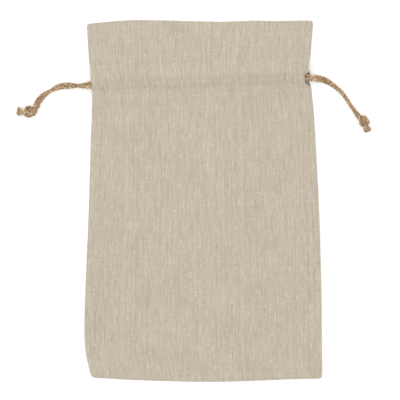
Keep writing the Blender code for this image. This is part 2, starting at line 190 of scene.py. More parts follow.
# %% Middle lines of the free pairs
LEFT_ROUTE = (
    (-0.1440, 0.1444), (-0.1540, 0.1436), (-0.1700, 0.1440), (-0.1800, 0.1425),
    (-0.1884, 0.1386), (-0.1979, 0.1330), (-0.2051, 0.1257), (-0.2102, 0.1175),
)
RIGHT_ROUTE = (
    (0.1355, 0.1529), (0.1422, 0.1527), (0.1497, 0.1515), (0.1570, 0.1479), (0.1644, 0.1427),
    (0.1720, 0.1362), (0.1779, 0.1286), (0.1830, 0.1210), (0.1880, 0.1134), (0.1943, 0.1056),
)
# Distance from the pair's first point, turn of the pair in degrees.
LEFT_TWIST = ((0.0, 0.0), (0.0126, 90.0), (0.0288, 180.0), (0.0486, 270.0), (0.0660, 360.0),
              (0.0800, 400.0))
RIGHT_TWIST = ((0.0, 0.0), (0.0120, 6.0), (0.0200, 40.0), (0.0300, 66.0), (0.0400, 84.0),
               (0.0580, 93.0), (0.0680, 106.0), (0.0800, 114.0))
# Distance from there, height of the lower strand off the surface.
LEFT_DROP = ((0.0, 0.0013), (0.0080, 0.0), (0.0660, 0.0), (0.0790, 0.0030))
RIGHT_DROP = ((0.0, 0.0050), (0.0060, 0.0030), (0.0150, 0.0), (0.0680, 0.0), (0.0830, 0.0030))
ROUTE_STEP = 0.0080            # spacing of the points of a pair's middle line
STRAND_STEP = 0.0050           # and of a strand's


def paired_points(route, twist, drop, side):
    """One strand of a twisted pair that lies on the surface; side is 1 or -1."""
    middle = smooth_route([(x, y, 0.0) for x, y in route], ROUTE_STEP)
    gone = distances(middle)
    angle = np.radians(between(twist, gone))
    climb = CORD_PITCH / 2 * (np.abs(np.sin(angle)) + side * np.sin(angle))
    points = middle + level_aside(middle) * (side * CORD_PITCH / 2 * np.cos(angle))[:, None]
    points[:, 2] = CORD / 2 + between(drop, gone) + climb
    return points


# The way out of the channel that each strand takes before it joins its pair: places across the
# bag, above the channel's line and off the surface.
WAYS_OUT = {
    "left_strand_front": (
        (-0.1205, FRONT_LOW, FRONT_STRAND), (-0.1240, FRONT_LOW, FRONT_STRAND),
        (-0.1320, FRONT_LOW - 0.0005, FRONT_STRAND), (-0.1385, FRONT_LOW - 0.0012, 0.0052)),
    "left_strand_back": (
        (-0.1185, BACK_HIGH, BACK_STRAND), (-0.1220, BACK_HIGH, BACK_STRAND),
        (-0.1272, 0.0133, BACK_STRAND), (-0.1322, 0.0103, BACK_STRAND),
        (-0.1364, 0.0064, BACK_STRAND), (-0.1402, 0.0037, BACK_STRAND)),
    "right_strand_front": (
        (0.1165, FRONT_HIGH, FRONT_STRAND), (0.1190, FRONT_HIGH, FRONT_STRAND),
        (0.1235, 0.0014, FRONT_STRAND), (0.1268, -0.0001, FRONT_STRAND),
        (0.1297, -0.0012, 0.0073), (0.1332, -0.0019, CROSSING)),
    "right_strand_back": (
        (0.1148, BACK_LOW, BACK_STRAND), (0.1172, BACK_LOW, BACK_STRAND),
        (0.1205, 0.0084, 0.0043), (0.1240, 0.0060, 0.0054), (0.1270, 0.0041, 0.0061),
        (0.1302, 0.0026, 0.0070), (0.1334, 0.0021, CROSSING)),
}
PAIRS = {
    "left_strand_front": (LEFT_ROUTE, LEFT_TWIST, LEFT_DROP, 1),
    "left_strand_back": (LEFT_ROUTE, LEFT_TWIST, LEFT_DROP, -1),
    "right_strand_front": (RIGHT_ROUTE, RIGHT_TWIST, RIGHT_DROP, -1),
    "right_strand_back": (RIGHT_ROUTE, RIGHT_TWIST, RIGHT_DROP, 1),
}
free_lines = {}
for name, way_out in WAYS_OUT.items():
    out = [at_channel(*place) for place in way_out]
    line = smooth_route([*out, *paired_points(*PAIRS[name])[1:]], STRAND_STEP)
    line[:, 2] = np.maximum(line[:, 2], CORD / 2)
    free_lines[name] = line
    print(f"{name}: {distances(line)[-1] * 1000:.1f} mm from the channel to its knot")

# %% [markdown]
# ## Tying the knots
#
# Both strands of a pair are tied together in one overhand knot. Such a knot is hard to draw by
# hand, because every stretch of it bears on another. It is easier to tie it: the strands are laid
# in a wide, loose overhand, a trefoil curve, and their ends are pulled while the strands keep
# their length, stay a diameter apart, resist bending and rest on a table, until the loop has
# closed. A tight knot is then turned to its pair and set at the CAD knot's place, and the strands
# are led into it and its short tails out of it.

# %% Laying a loose overhand knot
KNOT_STEP = 0.0015             # spacing of the points of a strand in a knot
KNOT_CORD = 0.0032             # jute gives where it is pulled tight
HALF_APART = 0.53              # of a diameter, from the pair's middle line to a strand's
LOOP_SIZE = 0.0062             # the trefoil curve's unit
LOOP_POINTS = 400
LOOP_MIDDLE = 0.0070           # height of the loose loop above the surface
LEAD_RUN = 0.020               # straight cord before the loop
TAIL_RUN = 0.045               # and after it
RUN_POINTS = 12
RUN_GAP = 0.002                # from the loop to the first point of a straight run
# Where the curve passes over itself, and how far it is above or below the loop's middle there.
OVERS_AND_UNDERS = ((-2.12, 0.0), (-1.93, -0.0030), (-1.73, 0.0030), (-0.52, -0.0030),
                    (0.52, 0.0030), (1.73, -0.0030), (1.93, 0.0030), (2.12, 0.0))


def loose_overhand():
    """Two strands side by side in a loose overhand knot along X."""
    t = np.linspace(OVERS_AND_UNDERS[0][0], OVERS_AND_UNDERS[-1][0], LOOP_POINTS)
    loop = np.stack([(t**3 - 3 * t) * LOOP_SIZE, (4 * t**2 - t**4) * LOOP_SIZE,
                     LOOP_MIDDLE + between(OVERS_AND_UNDERS, t)], axis=1)
    along = np.array((1.0, 0.0, 0.0))
    lead = loop[0] - np.linspace(LEAD_RUN, RUN_GAP, RUN_POINTS)[:, None] * along
    lead[:, 2] = np.linspace(CORD / 2, loop[0, 2], RUN_POINTS)
    tail = loop[-1] + np.linspace(RUN_GAP, TAIL_RUN, RUN_POINTS)[:, None] * along
    path = spaced(np.concatenate([lead, loop, tail]), KNOT_STEP)
    aside = level_aside(path) * KNOT_CORD * HALF_APART
    return np.array([path + aside, path - aside])


print("a loose loop is about", round(8 * LOOP_SIZE * 1000), "mm across")

# %% Pulling a knot tight
STUB = 4                       # points at the start of each strand that are held
PULLS = 1100
ROUNDS = 6                     # times that lengths and contacts are put right in each pull
LOOKS = 5                      # pulls from one look at which points are near to the next
PULL = 0.12                    # of a diameter, how far the tails are pulled at a time
SINK = 0.002                   # of a diameter, how far the knot settles at a time
MOMENTUM = 0.85                # of its last move, how much a point makes again
STRIDE = 0.1                   # of a diameter, the most of that
STIFFNESS = 0.20               # of a bend, how much is straightened at a time
CLING = 0.15                   # how strongly the two strands stay together
TOGETHER = 1.12                # diameters between their middles past which they cling
NEIGHBOURS = 1.6               # diameters along one strand within which its points don't bear


def straighten(line):
    """Takes a part of each bend out of a line."""
    line[1:-1] += STIFFNESS * ((line[:-2] + line[2:]) / 2 - line[1:-1])


def pulled_tight(strands):
    """Where two strands lie after their ends have been pulled along X."""
    count = strands.shape[1]
    points = strands.reshape(-1, 3).copy()
    place = np.tile(np.arange(count), 2)
    strand = np.repeat([0, 1], count)
    held = place < STUB
    free = (~held).astype(float)[:, None]
    stubs = points[held].copy()
    first, second = contact_pairs(place, strand)
    starts = np.concatenate([np.arange(count - 1), count + np.arange(count - 1)])
    before = points.copy()
    for pull in range(PULLS):
        moved = np.clip((points - before) * MOMENTUM, -STRIDE * KNOT_CORD, STRIDE * KNOT_CORD)
        before = points.copy()
        points += moved * free
        points[:, 2] -= SINK * KNOT_CORD * free[:, 0]
        points[[count - 1, 2 * count - 1], 0] += PULL * KNOT_CORD
        if pull % LOOKS == 0:
            near = ((points[second] - points[first])**2).sum(1) < (2 * KNOT_CORD)**2
            near_first, near_second = first[near], second[near]
        for _ in range(ROUNDS):
            keep_lengths(points, starts, free)
            keep_together(points, count)
            for line in (points[:count], points[count:]):
                straighten(line)
            keep_apart(points, near_first, near_second, free)
            points[:, 2] = np.maximum(points[:, 2], CORD / 2)
            points[held] = stubs
    return points.reshape(2, count, 3)


def contact_pairs(place, strand):
    """All pairs of points that may bear on each other: not neighbours in one strand."""
    first, second = np.triu_indices(len(place), 1)
    apart = np.abs(place[first] - place[second])
    bearing = (strand[first] != strand[second]) | (apart > NEIGHBOURS * KNOT_CORD / KNOT_STEP)
    return first[bearing], second[bearing]


def keep_lengths(points, starts, free):
    """Puts the spacing of neighbouring points right, every other one first."""
    for odd in (0, 1):
        i = starts[starts % 2 == odd]
        run = points[i + 1] - points[i]
        length = length_of(run)
        share = np.maximum(free[i] + free[i + 1], 1.0)
        mend = run * (length - KNOT_STEP) / length / share
        points[i] += mend * free[i]
        points[i + 1] -= mend * free[i + 1]


def keep_together(points, count):
    """Draws the two strands of the pair towards each other where they have parted."""
    i = np.arange(STUB, count)
    run = points[i + count] - points[i]
    length = length_of(run)
    mend = run / length * np.maximum(length - TOGETHER * KNOT_CORD, 0.0) * CLING / 2
    points[i] += mend
    points[i + count] -= mend


def keep_apart(points, first, second, free, diameter=KNOT_CORD):
    """Pushes points of touching stretches a diameter apart."""
    run = points[second] - points[first]
    length = length_of(run)
    hit = length[:, 0] < diameter
    push = run[hit] / length[hit] * (diameter - length[hit]) / 2
    moves, touches = np.zeros_like(points), np.zeros(len(points))
    for pushed, way in ((first[hit], -push), (second[hit], push)):
        np.add.at(moves, pushed, way)
        np.add.at(touches, pushed, 1)
    points += moves / np.maximum(touches, 1)[:, None] * free


tight_knot = pulled_tight(loose_overhand())
print("the knot is tied and rises to", round(float(tight_knot[..., 2].max()) + CORD / 2, 4))

# %% Setting the knots in their places
# Name: the two strands; how far the knot is drawn out along and across it; its turn in degrees,
# its middle and the ends of its tails.
KNOTS = {
    "left_knot": (("left_strand_back", "left_strand_front"), (1.22, 0.92), 190.0,
                  (-0.2164, 0.1111), ((-0.2306, 0.1144), (-0.2314, 0.1093))),
    "right_knot": (("right_strand_front", "right_strand_back"), (0.87, 0.80), -62.0,
                   (0.2008, 0.0992), ((0.2034, 0.0874), (0.2072, 0.0884))),
}
KNOT_OF = {strand: knot for knot, (pair, *_) in KNOTS.items() for strand in pair}
CUT_BACK = 0.0075              # where a strand leaves its free line for the knot
TOUCHING = 1.25                # diameters between middles at which two stretches bear
NOT_ITSELF = 8                 # points along a strand past which it can bear on itself
EASINGS = 40                   # rounds of pushing the whole lines clear


def bearing_stretch(strands):
    """First and last point of each strand that bears on another stretch of cord."""
    count = strands.shape[1]
    points = strands.reshape(-1, 3)
    place = np.tile(np.arange(count), 2)
    close = np.linalg.norm(points[:, None] - points[None], axis=2) < TOUCHING * KNOT_CORD
    close &= np.abs(place[:, None] - place[None]) > NOT_ITSELF
    return [np.flatnonzero(touch)[[0, -1]] for touch in close.any(1).reshape(2, count)]


def led(start, start_ahead, end, end_ahead):
    """Points between two ends of line, on a curve that leaves and meets them smoothly."""
    gap = np.linalg.norm(end - start)
    f = np.linspace(0.0, 1.0, max(3, round(gap / KNOT_STEP) + 1))[1:-1, None]
    return hermite(f, gap, start, start_ahead, end, end_ahead)


def set_in_place(strands, lines, drawn_out, turn, middle, tips):
    """Whole lines from the bag to the tails' tips, and where each goes into and out of its knot."""
    stretches = bearing_stretch(strands)
    cos, sin = math.cos(math.radians(turn)), math.sin(math.radians(turn))
    about_z = np.array(((cos, sin, 0.0), (-sin, cos, 0.0), (0.0, 0.0, 1.0)))
    turned = strands * np.array((*drawn_out, 1.0)) @ about_z
    body = np.concatenate([turned[k, a:b + 1, :2] for k, (a, b) in enumerate(stretches)])
    turned[..., :2] += np.array(middle) - (body.min(0) + body.max(0)) / 2
    cut = [line[:-round(CUT_BACK / KNOT_STEP)] for line in lines]
    entries = [turned[k, stretches[k][0] - 1] for k in (0, 1)]
    if np.dot((cut[0][-1] - cut[1][-1])[:2], (entries[0] - entries[1])[:2]) < 0:
        turned, stretches = turned[::-1], stretches[::-1]
    exits = [turned[k, stretches[k][1] + 1] for k in (0, 1)]
    if np.dot((exits[0] - exits[1])[:2], np.subtract(tips[0], tips[1])) < 0:
        tips = tips[::-1]
    whole, held, spans = [], [], []
    for line, strand, (a, b), tip in zip(cut, turned, stretches, tips):
        inside = strand[a - 1:b + 2]
        lead = led(line[-1], unit(line[-1] - line[-2]), inside[0], unit(inside[1] - inside[0]))
        tip = np.array((*tip, CORD / 2))
        tail = led(inside[-1], unit(inside[-1] - inside[-2]), tip, unit(tip - inside[-1]))
        whole.append(np.concatenate([line, lead, inside, tail, [tip]]))
        place = np.arange(len(whole[-1]))
        held.append((place < len(line)) | (place == place[-1]))
        spans.append((len(line) + len(lead) + 1, len(whole[-1]) - len(tail) - 1))
    return pushed_clear(whole, held, KNOT_CORD * min(1.0, drawn_out[0])), spans


def pushed_clear(lines, held, diameter):
    """The lines after stretches that overlap have been pushed apart."""
    counts = [len(line) for line in lines]
    points = np.concatenate(lines)
    still = points.copy()
    held = np.concatenate(held)
    free = (~held).astype(float)[:, None]
    place = np.concatenate([np.arange(count) for count in counts])
    first, second = contact_pairs(place, np.repeat([0, 1], counts))
    near = ((points[second] - points[first])**2).sum(1) < (3 * KNOT_CORD)**2
    for _ in range(EASINGS):
        for line in (points[:counts[0]], points[counts[0]:]):
            straighten(line)
        for _ in range(3):
            keep_apart(points, first[near], second[near], free, diameter)
        points[:, 2] = np.maximum(points[:, 2], CORD / 2)
        points[held] = still[held]
    return [points[:counts[0]], points[counts[0]:]]


strand_lines, knot_spans = {}, {}
for name, (pair, *setting) in KNOTS.items():
    lines = [smooth_route(free_lines[strand], KNOT_STEP) for strand in pair]
    whole, spans = set_in_place(tight_knot, lines, *setting)
    strand_lines.update(zip(pair, whole))
    knot_spans.update(zip(pair, spans))
    body = np.concatenate([line[start:] for line, (start, _) in zip(whole, spans)])
    print(name, "reaches from", body.min(0).round(4), "to", body.max(0).round(4))

# %% [markdown]
# ## Jute yarn
#
# The drawcord is three plies of jute laid round each other, coarse and uneven, with short fibres
# standing off it. A strand is one mesh: a cross-section of three lobes that turns as it is swept
# along the strand's whole line, from the channel through the knot to the tip of its tail, so the
# plies run on without a break. It is then cut in two where it goes into the knot, because the free
# strand and the knot replace different parts of the CAD. Fibres are thin, bent spikes, three-sided:
# a mesh of their own beside each free strand, and part of the mesh in a knot.

# %% The cross-section of the yarn
PLIES = 3
PLY_REACH = 0.42               # of the yarn's radius, how far out a ply's middle is
PLY_RADIUS = 0.58
PLY_SHARE = 2 * np.pi / PLIES  # of the way round the yarn, in radians
YARN_SIDES = 36
RING_STEP = 0.0005
LAY = 0.0125                   # length of one turn of the plies


def surface_reach(out):
    """Reach of the yarn's surface at an angle out from the middle of a ply."""
    return PLY_REACH * np.cos(out) + np.sqrt(PLY_RADIUS**2 - (PLY_REACH * np.sin(out))**2)


CREASE_REACH = surface_reach(PLY_SHARE / 2)


def ply_section(angles, turn):
    """The surface's reach, how deep in the crease it is, its place round its ply, and which ply."""
    turned = angles - turn + PLY_SHARE / 2
    out = turned % PLY_SHARE - PLY_SHARE / 2
    reach = surface_reach(out)
    crease = np.clip((1.0 - reach) / (1.0 - CREASE_REACH), 0.0, 1.0)
    round_ply = np.arctan2(reach * np.sin(out), reach * np.cos(out) - PLY_REACH)
    return reach, crease, round_ply, np.floor(turned / PLY_SHARE) % PLIES


def carried_frames(line):
    """The way ahead at each point, and a side vector that is carried along without turning."""
    ahead = unit(np.gradient(line, axis=0))
    side = np.cross((0.0, 0.0, 1.0), ahead[0])
    sides = []
    for way in ahead:
        side = unit(side - way * np.dot(side, way))
        sides.append(side)
    return ahead, np.array(sides)


def slow_noise(places, seed, pitch):
    """Smooth random values, about -1 to 1, along a line."""
    rng = np.random.default_rng(seed)
    knots = np.arange(places.min() - pitch, places.max() + 2 * pitch, pitch)
    return between(list(zip(knots, rng.uniform(-1.0, 1.0, len(knots)))), places)


print("a crease is", round(float(1 - CREASE_REACH) * CORD / 2 * 1000, 2), "mm deep")

# %% Sweeping a yarn along its line
# Reach of the plies, in halves of CORD: jute fluffs up where it lies free, and more so where it
# comes loose at a mouth. The channel holds it in, and so does a knot.
FREE, LOOSE, HELD, TIED = 1.30, 1.42, 1.03, 1.02
REACH_AT_MOUTH = ((-0.019, FREE), (-0.014, LOOSE), (-0.010, LOOSE), (-0.001, HELD))
REACH_AT_KNOT = ((-0.004, LOOSE), (0.003, TIED))
CHANNEL_ENDS = (-0.1330, 0.1300)
# How uneven the yarn is, and over what length: its turn in radians, its size, and each ply's.
TURN_STRAYS, SIZE_STRAYS, PLY_STRAYS = (0.35, 0.017), (0.05, 0.014), (0.035, 0.009)
OFF_SURFACE = 0.0001           # the least height of the yarn
PLY_APART = 3.0                # from one ply's pattern to the next, in halves of CORD


def yarn_surface(line, seed, knot=(1.0, 1.0), sides=YARN_SIDES):
    """Rings of the yarn along a line: points, crease, and place round and along the plies.

    knot is where along the line the yarn goes into a knot and comes out of it.
    """
    ahead, side = carried_frames(line)
    up = np.cross(ahead, side)
    gone = distances(line)
    turn = 2 * np.pi * gone / LAY + TURN_STRAYS[0] * slow_noise(gone, seed, TURN_STRAYS[1])
    angles = np.linspace(0.0, 2 * np.pi, sides, endpoint=False)[None, :]
    reach, crease, round_ply, ply = ply_section(angles, turn[:, None])
    # Each noise has a seed of its own: the turn, the plies one by one, the size.
    swell = np.stack([slow_noise(gone, seed + 1 + k, PLY_STRAYS[1]) for k in range(PLIES)])
    swell = np.take_along_axis(swell.T, ply.astype(int), axis=1)
    size = (1.0 + SIZE_STRAYS[0] * slow_noise(gone, seed + 5, SIZE_STRAYS[1])[:, None]
            + PLY_STRAYS[0] * swell)
    into_channel = np.minimum(line[:, 0] - CHANNEL_ENDS[0], CHANNEL_ENDS[1] - line[:, 0])
    into_knot = np.minimum(gone - knot[0], knot[1] - gone)
    thick = np.minimum(between(REACH_AT_MOUTH, into_channel), between(REACH_AT_KNOT, into_knot))
    reach = reach * thick[:, None] * CORD / 2 * size
    points = (line[:, None] + side[:, None] * (reach * np.cos(angles))[..., None]
              + up[:, None] * (reach * np.sin(angles))[..., None])
    points[..., 2] = np.maximum(points[..., 2], OFF_SURFACE)
    round_way = (round_ply / np.pi * PLY_RADIUS + ply * PLY_APART) * CORD / 2
    return {"points": points, "crease": crease, "round": round_way,
            "along": np.repeat(gone[:, None], sides, axis=1), "line": line, "ahead": ahead}


def part_of(surface, first, last):
    """The rings of a surface from one number to another."""
    return {name: values[first:last] for name, values in surface.items()}


def tube_mesh(surface):
    """Vertices, faces and their values for a closed tube of rings, capped at both ends."""
    rings, sides = surface["points"].shape[:2]
    vertices = list(surface["points"].reshape(-1, 3))
    faces = []
    for a in range(0, (rings - 1) * sides, sides):
        faces += [(a + k, a + (k + 1) % sides, a + sides + (k + 1) % sides, a + sides + k)
                  for k in range(sides)]
    for ring, order in ((0, -1), (rings - 1, 1)):
        a = ring * sides
        middle = len(vertices)
        vertices.append(surface["line"][ring])
        faces += [(a + k, a + (k + 1) % sides, middle)[::order] for k in range(sides)]
    values = {name: np.concatenate([surface[name].ravel(), surface[name][[0, -1]].mean(1)])
              for name in ("crease", "round", "along")}
    values["rim"] = np.zeros(len(vertices))
    values["rim"][:sides] = values["rim"][(rings - 1) * sides:rings * sides] = 1.0
    return vertices, faces, values


print("a turn of the plies has", round(LAY / RING_STEP), "rings")

# %% Fibres that stand off the yarn
FIBRE_RINGS = (0.0, 0.35, 0.7) # shares of a fibre's length
FIBRE_TAPER, FIBRE_BEND = 0.6, 0.35
FIBRE_VERTICES = 3 * len(FIBRE_RINGS) + 1
ASIDE = (0.31, 0.57, 0.76)     # no fibre lies this way
FIBRE_LENGTHS, FIBRE_WIDTHS = (0.0015, 0.0050), (0.00003, 0.00006)
TUFT_LENGTHS, TUFT_WIDTHS = (0.0016, 0.0038), (0.00006, 0.00013)
FIBRE_SINK, TUFT_SINK = 0.0002, 0.0008     # how deep a fibre's root is
# How far a stray fibre leans along the yarn and out from it, and how much that varies.
FIBRE_AHEAD, FIBRE_OUT, FIBRE_STRAY = (0.5, 1.4), (0.25, 1.0), 0.25
TUFT_OUT, TUFT_STRAY = (0.05, 0.95), 0.16  # the same for a fibre at a cut end
TUFT_WITHIN = 0.95             # of the yarn's reach, where the roots of the outermost ones are
FIBRE_FREE = (-0.1420, 0.1370) # from here to here, in the channel, no fibres stand off the yarn
FRAYED = 0.0028                # from the tip, how far back the cord has come undone
YARN_VALUES = ("crease", "round", "along", "rim")


def add_fibre(vertices, faces, values, root, way, length, width, rng):
    """One thin bent spike with three sides."""
    ahead = unit(way)
    side = unit(np.cross(ahead, ASIDE))
    up = np.cross(ahead, side)
    bend = (side * rng.uniform(-1, 1) + up * rng.uniform(-1, 1)) * length * FIBRE_BEND
    base = len(vertices)
    for f in FIBRE_RINGS:
        middle = root + ahead * length * f + bend * f**2
        middle[2] = max(middle[2], width)
        for angle in (0.0, 2 * math.pi / 3, 4 * math.pi / 3):
            reach = width * (1.0 - FIBRE_TAPER * f)
            vertices.append(middle + (side * math.cos(angle) + up * math.sin(angle)) * reach)
    tip = root + ahead * length + bend
    tip[2] = max(tip[2], width)
    vertices.append(tip)
    last = base + FIBRE_VERTICES - 4
    for a in range(base, last, 3):
        faces += [(a + k, a + (k + 1) % 3, a + 3 + (k + 1) % 3, a + 3 + k) for k in range(3)]
    faces += [(last + k, last + (k + 1) % 3, last + 3) for k in range(3)]
    faces.append((base + 2, base + 1, base))
    # Its crease value gives it painted shade, and the other values give it some place in
    # the yarn's pattern.
    values.append((0.15 + 0.5 * rng.random(), rng.random() * 0.01, rng.random() * 0.1, 0.0))


def stray_fibres(surface, count, rng):
    """Short fibres that stand off the yarn, mostly along it, outside the channel."""
    vertices, faces, values = [], [], []
    rings, sides = surface["points"].shape[:2]
    outside = np.flatnonzero((surface["line"][:, 0] < FIBRE_FREE[0])
                             | (surface["line"][:, 0] > FIBRE_FREE[1]))
    for ring in rng.choice(outside[(outside > 0) & (outside < rings - 1)], count):
        root = surface["points"][ring, rng.integers(sides)]
        out = unit(root - surface["line"][ring])
        way = (surface["ahead"][ring] * rng.choice((-1.0, 1.0)) * rng.uniform(*FIBRE_AHEAD)
               + out * rng.uniform(*FIBRE_OUT) + rng.normal(0.0, FIBRE_STRAY, 3))
        add_fibre(vertices, faces, values, root - out * FIBRE_SINK, way,
                  rng.uniform(*FIBRE_LENGTHS), rng.uniform(*FIBRE_WIDTHS), rng)
    return vertices, faces, fibre_values(values)


def frayed_end(surface, count, rng):
    """Fibres at the tip of a tail, where the cord has been cut and has begun to come undone."""
    vertices, faces, values = [], [], []
    rings, sides = surface["points"].shape[:2]
    for _ in range(count):
        back = min(rng.exponential(FRAYED / 2), 2 * FRAYED)
        ring = rings - 1 - round(back / RING_STEP)
        middle, ahead = surface["line"][ring], surface["ahead"][ring]
        out = surface["points"][ring, rng.integers(sides)] - middle
        reach = math.sqrt(rng.random()) if back < RING_STEP else 1.0
        way = (ahead + unit(out) * reach * rng.uniform(*TUFT_OUT)
               + rng.normal(0.0, TUFT_STRAY, 3))
        root = middle + out * reach * TUFT_WITHIN - ahead * TUFT_SINK
        add_fibre(vertices, faces, values, root, way, rng.uniform(*TUFT_LENGTHS),
                  rng.uniform(*TUFT_WIDTHS), rng)
    return vertices, faces, fibre_values(values)


def fibre_values(values):
    """Each fibre's own values, for all of its vertices."""
    return {name: np.repeat(column, FIBRE_VERTICES)
            for name, column in zip(YARN_VALUES, np.array(values).T)}


def joined(parts):
    """Several lists of vertices, faces and values as one."""
    vertices, faces = [], []
    for part_vertices, part_faces, _ in parts:
        faces += [tuple(len(vertices) + k for k in face) for face in part_faces]
        vertices += part_vertices
    return vertices, faces, {name: np.concatenate([values[name] for _, _, values in parts])
                             for name in YARN_VALUES}


print("a fibre has", FIBRE_VERTICES, "vertices")

# %% Making objects of meshes
def mesh_object(name, vertices, faces):
    """A new object with a mesh of these vertices and faces."""
    data = bpy.data.meshes.new(name)
    data.from_pydata(vertices, [], faces)
    thing = bpy.data.objects.new(name, data)
    bpy.context.collection.objects.link(thing)
    return thing


def give_uv(data, places):
    """Gives a mesh its UV map, from a place for each vertex."""
    corners = np.empty(len(data.loops), dtype=np.int32)
    data.loops.foreach_get("vertex_index", corners)
    uv = data.uv_layers.new(name="OFBake")
    uv.data.foreach_set("uv", places[corners].ravel().astype(np.float32))


def give_values(data, name, values):
    """Gives a mesh an attribute, from a value for each vertex."""
    attribute = data.attributes.new(name, "FLOAT", "POINT")
    attribute.data.foreach_set("value", values.ravel().astype(np.float32))


def sharpen_caps(data, rim):
    """Keeps the smooth shading of a tube from running over the rims of its end caps."""
    ends = np.empty(2 * len(data.edges), dtype=np.int32)
    data.edges.foreach_get("vertices", ends)
    sharp = data.attributes.new("sharp_edge", "BOOLEAN", "EDGE")
    sharp.data.foreach_set("value", rim[ends.reshape(-1, 2)].all(1))


def yarn_object(name, mesh):
    """A smooth-shaded object of a yarn's mesh, with its UV map and its creases."""
    vertices, faces, values = mesh
    thing = mesh_object(name, vertices, faces)
    thing.data.shade_smooth()
    sharpen_caps(thing.data, values["rim"])
    give_uv(thing.data, np.stack([values["round"], values["along"]], axis=1))
    give_values(thing.data, "crease", values["crease"])
    return thing


print("a yarn's mesh keeps", ", ".join(YARN_VALUES))

# %% Free strands and knots
STRAY_FIBRES = 110             # on a free strand
KNOT_FIBRES = 60               # on its stretch in the knot
TUFT = 170                     # at its cut end
CUT_INSIDE = 3                 # steps into the knot at which a strand's mesh is cut in two
CUT_SEARCH = 0.010             # how far along from there its nearest ring is looked for

strand_objects, strand_paths, fibre_objects = {}, {}, {}
knot_parts = {name: [] for name in KNOTS}
for seed, (name, line) in enumerate(sorted(strand_lines.items())):
    rng = np.random.default_rng(seed)
    span = np.array(knot_spans[name])
    start = span[0] + CUT_INSIDE
    fine = smooth_route(line, RING_STEP)
    gone = distances(fine)
    cut = int(np.argmin(length_of(fine - line[start])[:, 0]
                        + (np.abs(gone - start * KNOT_STEP) > CUT_SEARCH)))
    surface = yarn_surface(fine, 10 * seed, span * KNOT_STEP)
    strand = part_of(surface, 0, cut + 1)
    strand_objects[name] = yarn_object(name.replace("strand", "drawstring"), tube_mesh(strand))
    strand_paths[name] = strand["line"]
    fibre_objects[name] = yarn_object(name.replace("strand", "fibres"),
                                      stray_fibres(strand, STRAY_FIBRES, rng))
    rest = part_of(surface, cut, None)
    knot_parts[KNOT_OF[name]] += [tube_mesh(rest), stray_fibres(rest, KNOT_FIBRES, rng),
                                  frayed_end(rest, TUFT, rng)]
    print(f"{name}: {gone[cut] * 1000:.1f} mm free, and {(gone[-1] - gone[cut]) * 1000:.1f} mm "
          "in its knot")
knot_objects = {name: yarn_object("tied_" + name, joined(parts))
                for name, parts in knot_parts.items()}
print({name: len(thing.data.polygons) for name, thing in knot_objects.items()})

# %% The cords that the channel holds
HELD_STEP = 0.0012             # they hardly show, so they are coarser
HELD_SIDES = 18
HELD_SEED = 90
STRAIGHT_POINTS = 19
TURN_POINTS = 9


def straight(start, end):
    """Points from start to end, two places in the channel."""
    start, end = at_channel(*start), at_channel(*end)
    return [start + (end - start) * f for f in np.linspace(0.0, 1.0, STRAIGHT_POINTS)]


def turned_back(start, end, bulge):
    """A U-turn from start to end that reaches out sideways by bulge."""
    start, end = at_channel(*start), at_channel(*end)
    middle, outward = (start + end) / 2, np.array((bulge, 0.0, 0.0))
    return [middle + (start - middle) * math.cos(angle) + outward * math.sin(angle)
            for angle in np.linspace(0.0, math.pi, TURN_POINTS)]


HELD_ROUTES = {                # out through the front, down and round the far mouth, and back
    "left_cord_in_channel": (
        straight((-0.1200, FRONT_LOW, FRONT_STRAND), (0.1105, FRONT_LOW, FRONT_STRAND))
        + [at_channel(0.1142, -0.0014, 0.0051), at_channel(0.1178, -0.0022, 0.0036)]
        + turned_back((0.1238, -0.0032, TURN_STRAND), (0.1238, BACK_HIGH, TURN_STRAND), 0.0080)
        + straight((0.1180, BACK_HIGH, BACK_STRAND), (-0.1180, BACK_HIGH, BACK_STRAND))),
    "right_cord_in_channel": (
        straight((0.1160, FRONT_HIGH, FRONT_STRAND), (-0.1185, FRONT_HIGH, FRONT_STRAND))
        + turned_back((-0.1225, FRONT_HIGH, FRONT_STRAND), (-0.1225, BACK_LOW, BACK_STRAND),
                      -0.0040)
        + straight((-0.1185, BACK_LOW, BACK_STRAND), (0.1140, BACK_LOW, BACK_STRAND))),
}
held_objects = {}
for seed, (name, route) in enumerate(HELD_ROUTES.items()):
    surface = yarn_surface(smooth_route(route, HELD_STEP), HELD_SEED + 10 * seed,
                           sides=HELD_SIDES)
    held_objects[name] = yarn_object("jute_" + name, tube_mesh(surface))
    print(name, round(float(surface["along"][-1, 0]) * 1000, 1), "mm")

# %% [markdown]
# ## The cloth
#
# Each of the bag's two sides is one sheet: it goes up from the foot, over the top fold and down
# again inside as a facing. The sheets lie flat, so they are laid out as grids of points, row by
# row, each point at its own height: on the table, on the facings, or on the cords. The heights
# start from the CAD's. What is added is what a needle and two hands do to a flat sheet: furrows
# where the stitches pull it down, puckers beside them, a ridge over the seam allowances, edges
# that come together at the seams, and the low swells of cloth that has been folded and handled.
# The grid is then given its thickness by Solidify.

# %% Sizes of the sheets
SHEET = 0.0007                 # thickness of the linen
WIDTH = 0.2900                 # the bag's, as cut
FACING_BELOW_CHANNEL = 0.0130
CORNER_RADIUS = 0.0040
EDGE_EASE = 0.0070             # run over which a layer comes down beside the cords
MOUTH_DEPTH = 0.0220           # how far the facings stop short of the edges at the mouths
LEFT_NOTCH = 0.0008            # and the front layer
RIGHT_NOTCH = 0.0060
NOTCH_MIDDLE = -0.0018         # of the front layer's notches, above the channel's line
NOTCH_REACH = 0.0098           # up and down from there
NOTCH_EASE = 0.0048            # run over which an edge comes out again
FACING_INSET = 0.0020          # how far a facing's side stays inside the side seam
UPPER_STITCH = 0.0248          # the rows of stitches, above the channel's line
LOWER_STITCH = -0.0074
MOUTH_REACH = BACK_HIGH + EDGE_EASE + NOTCH_EASE

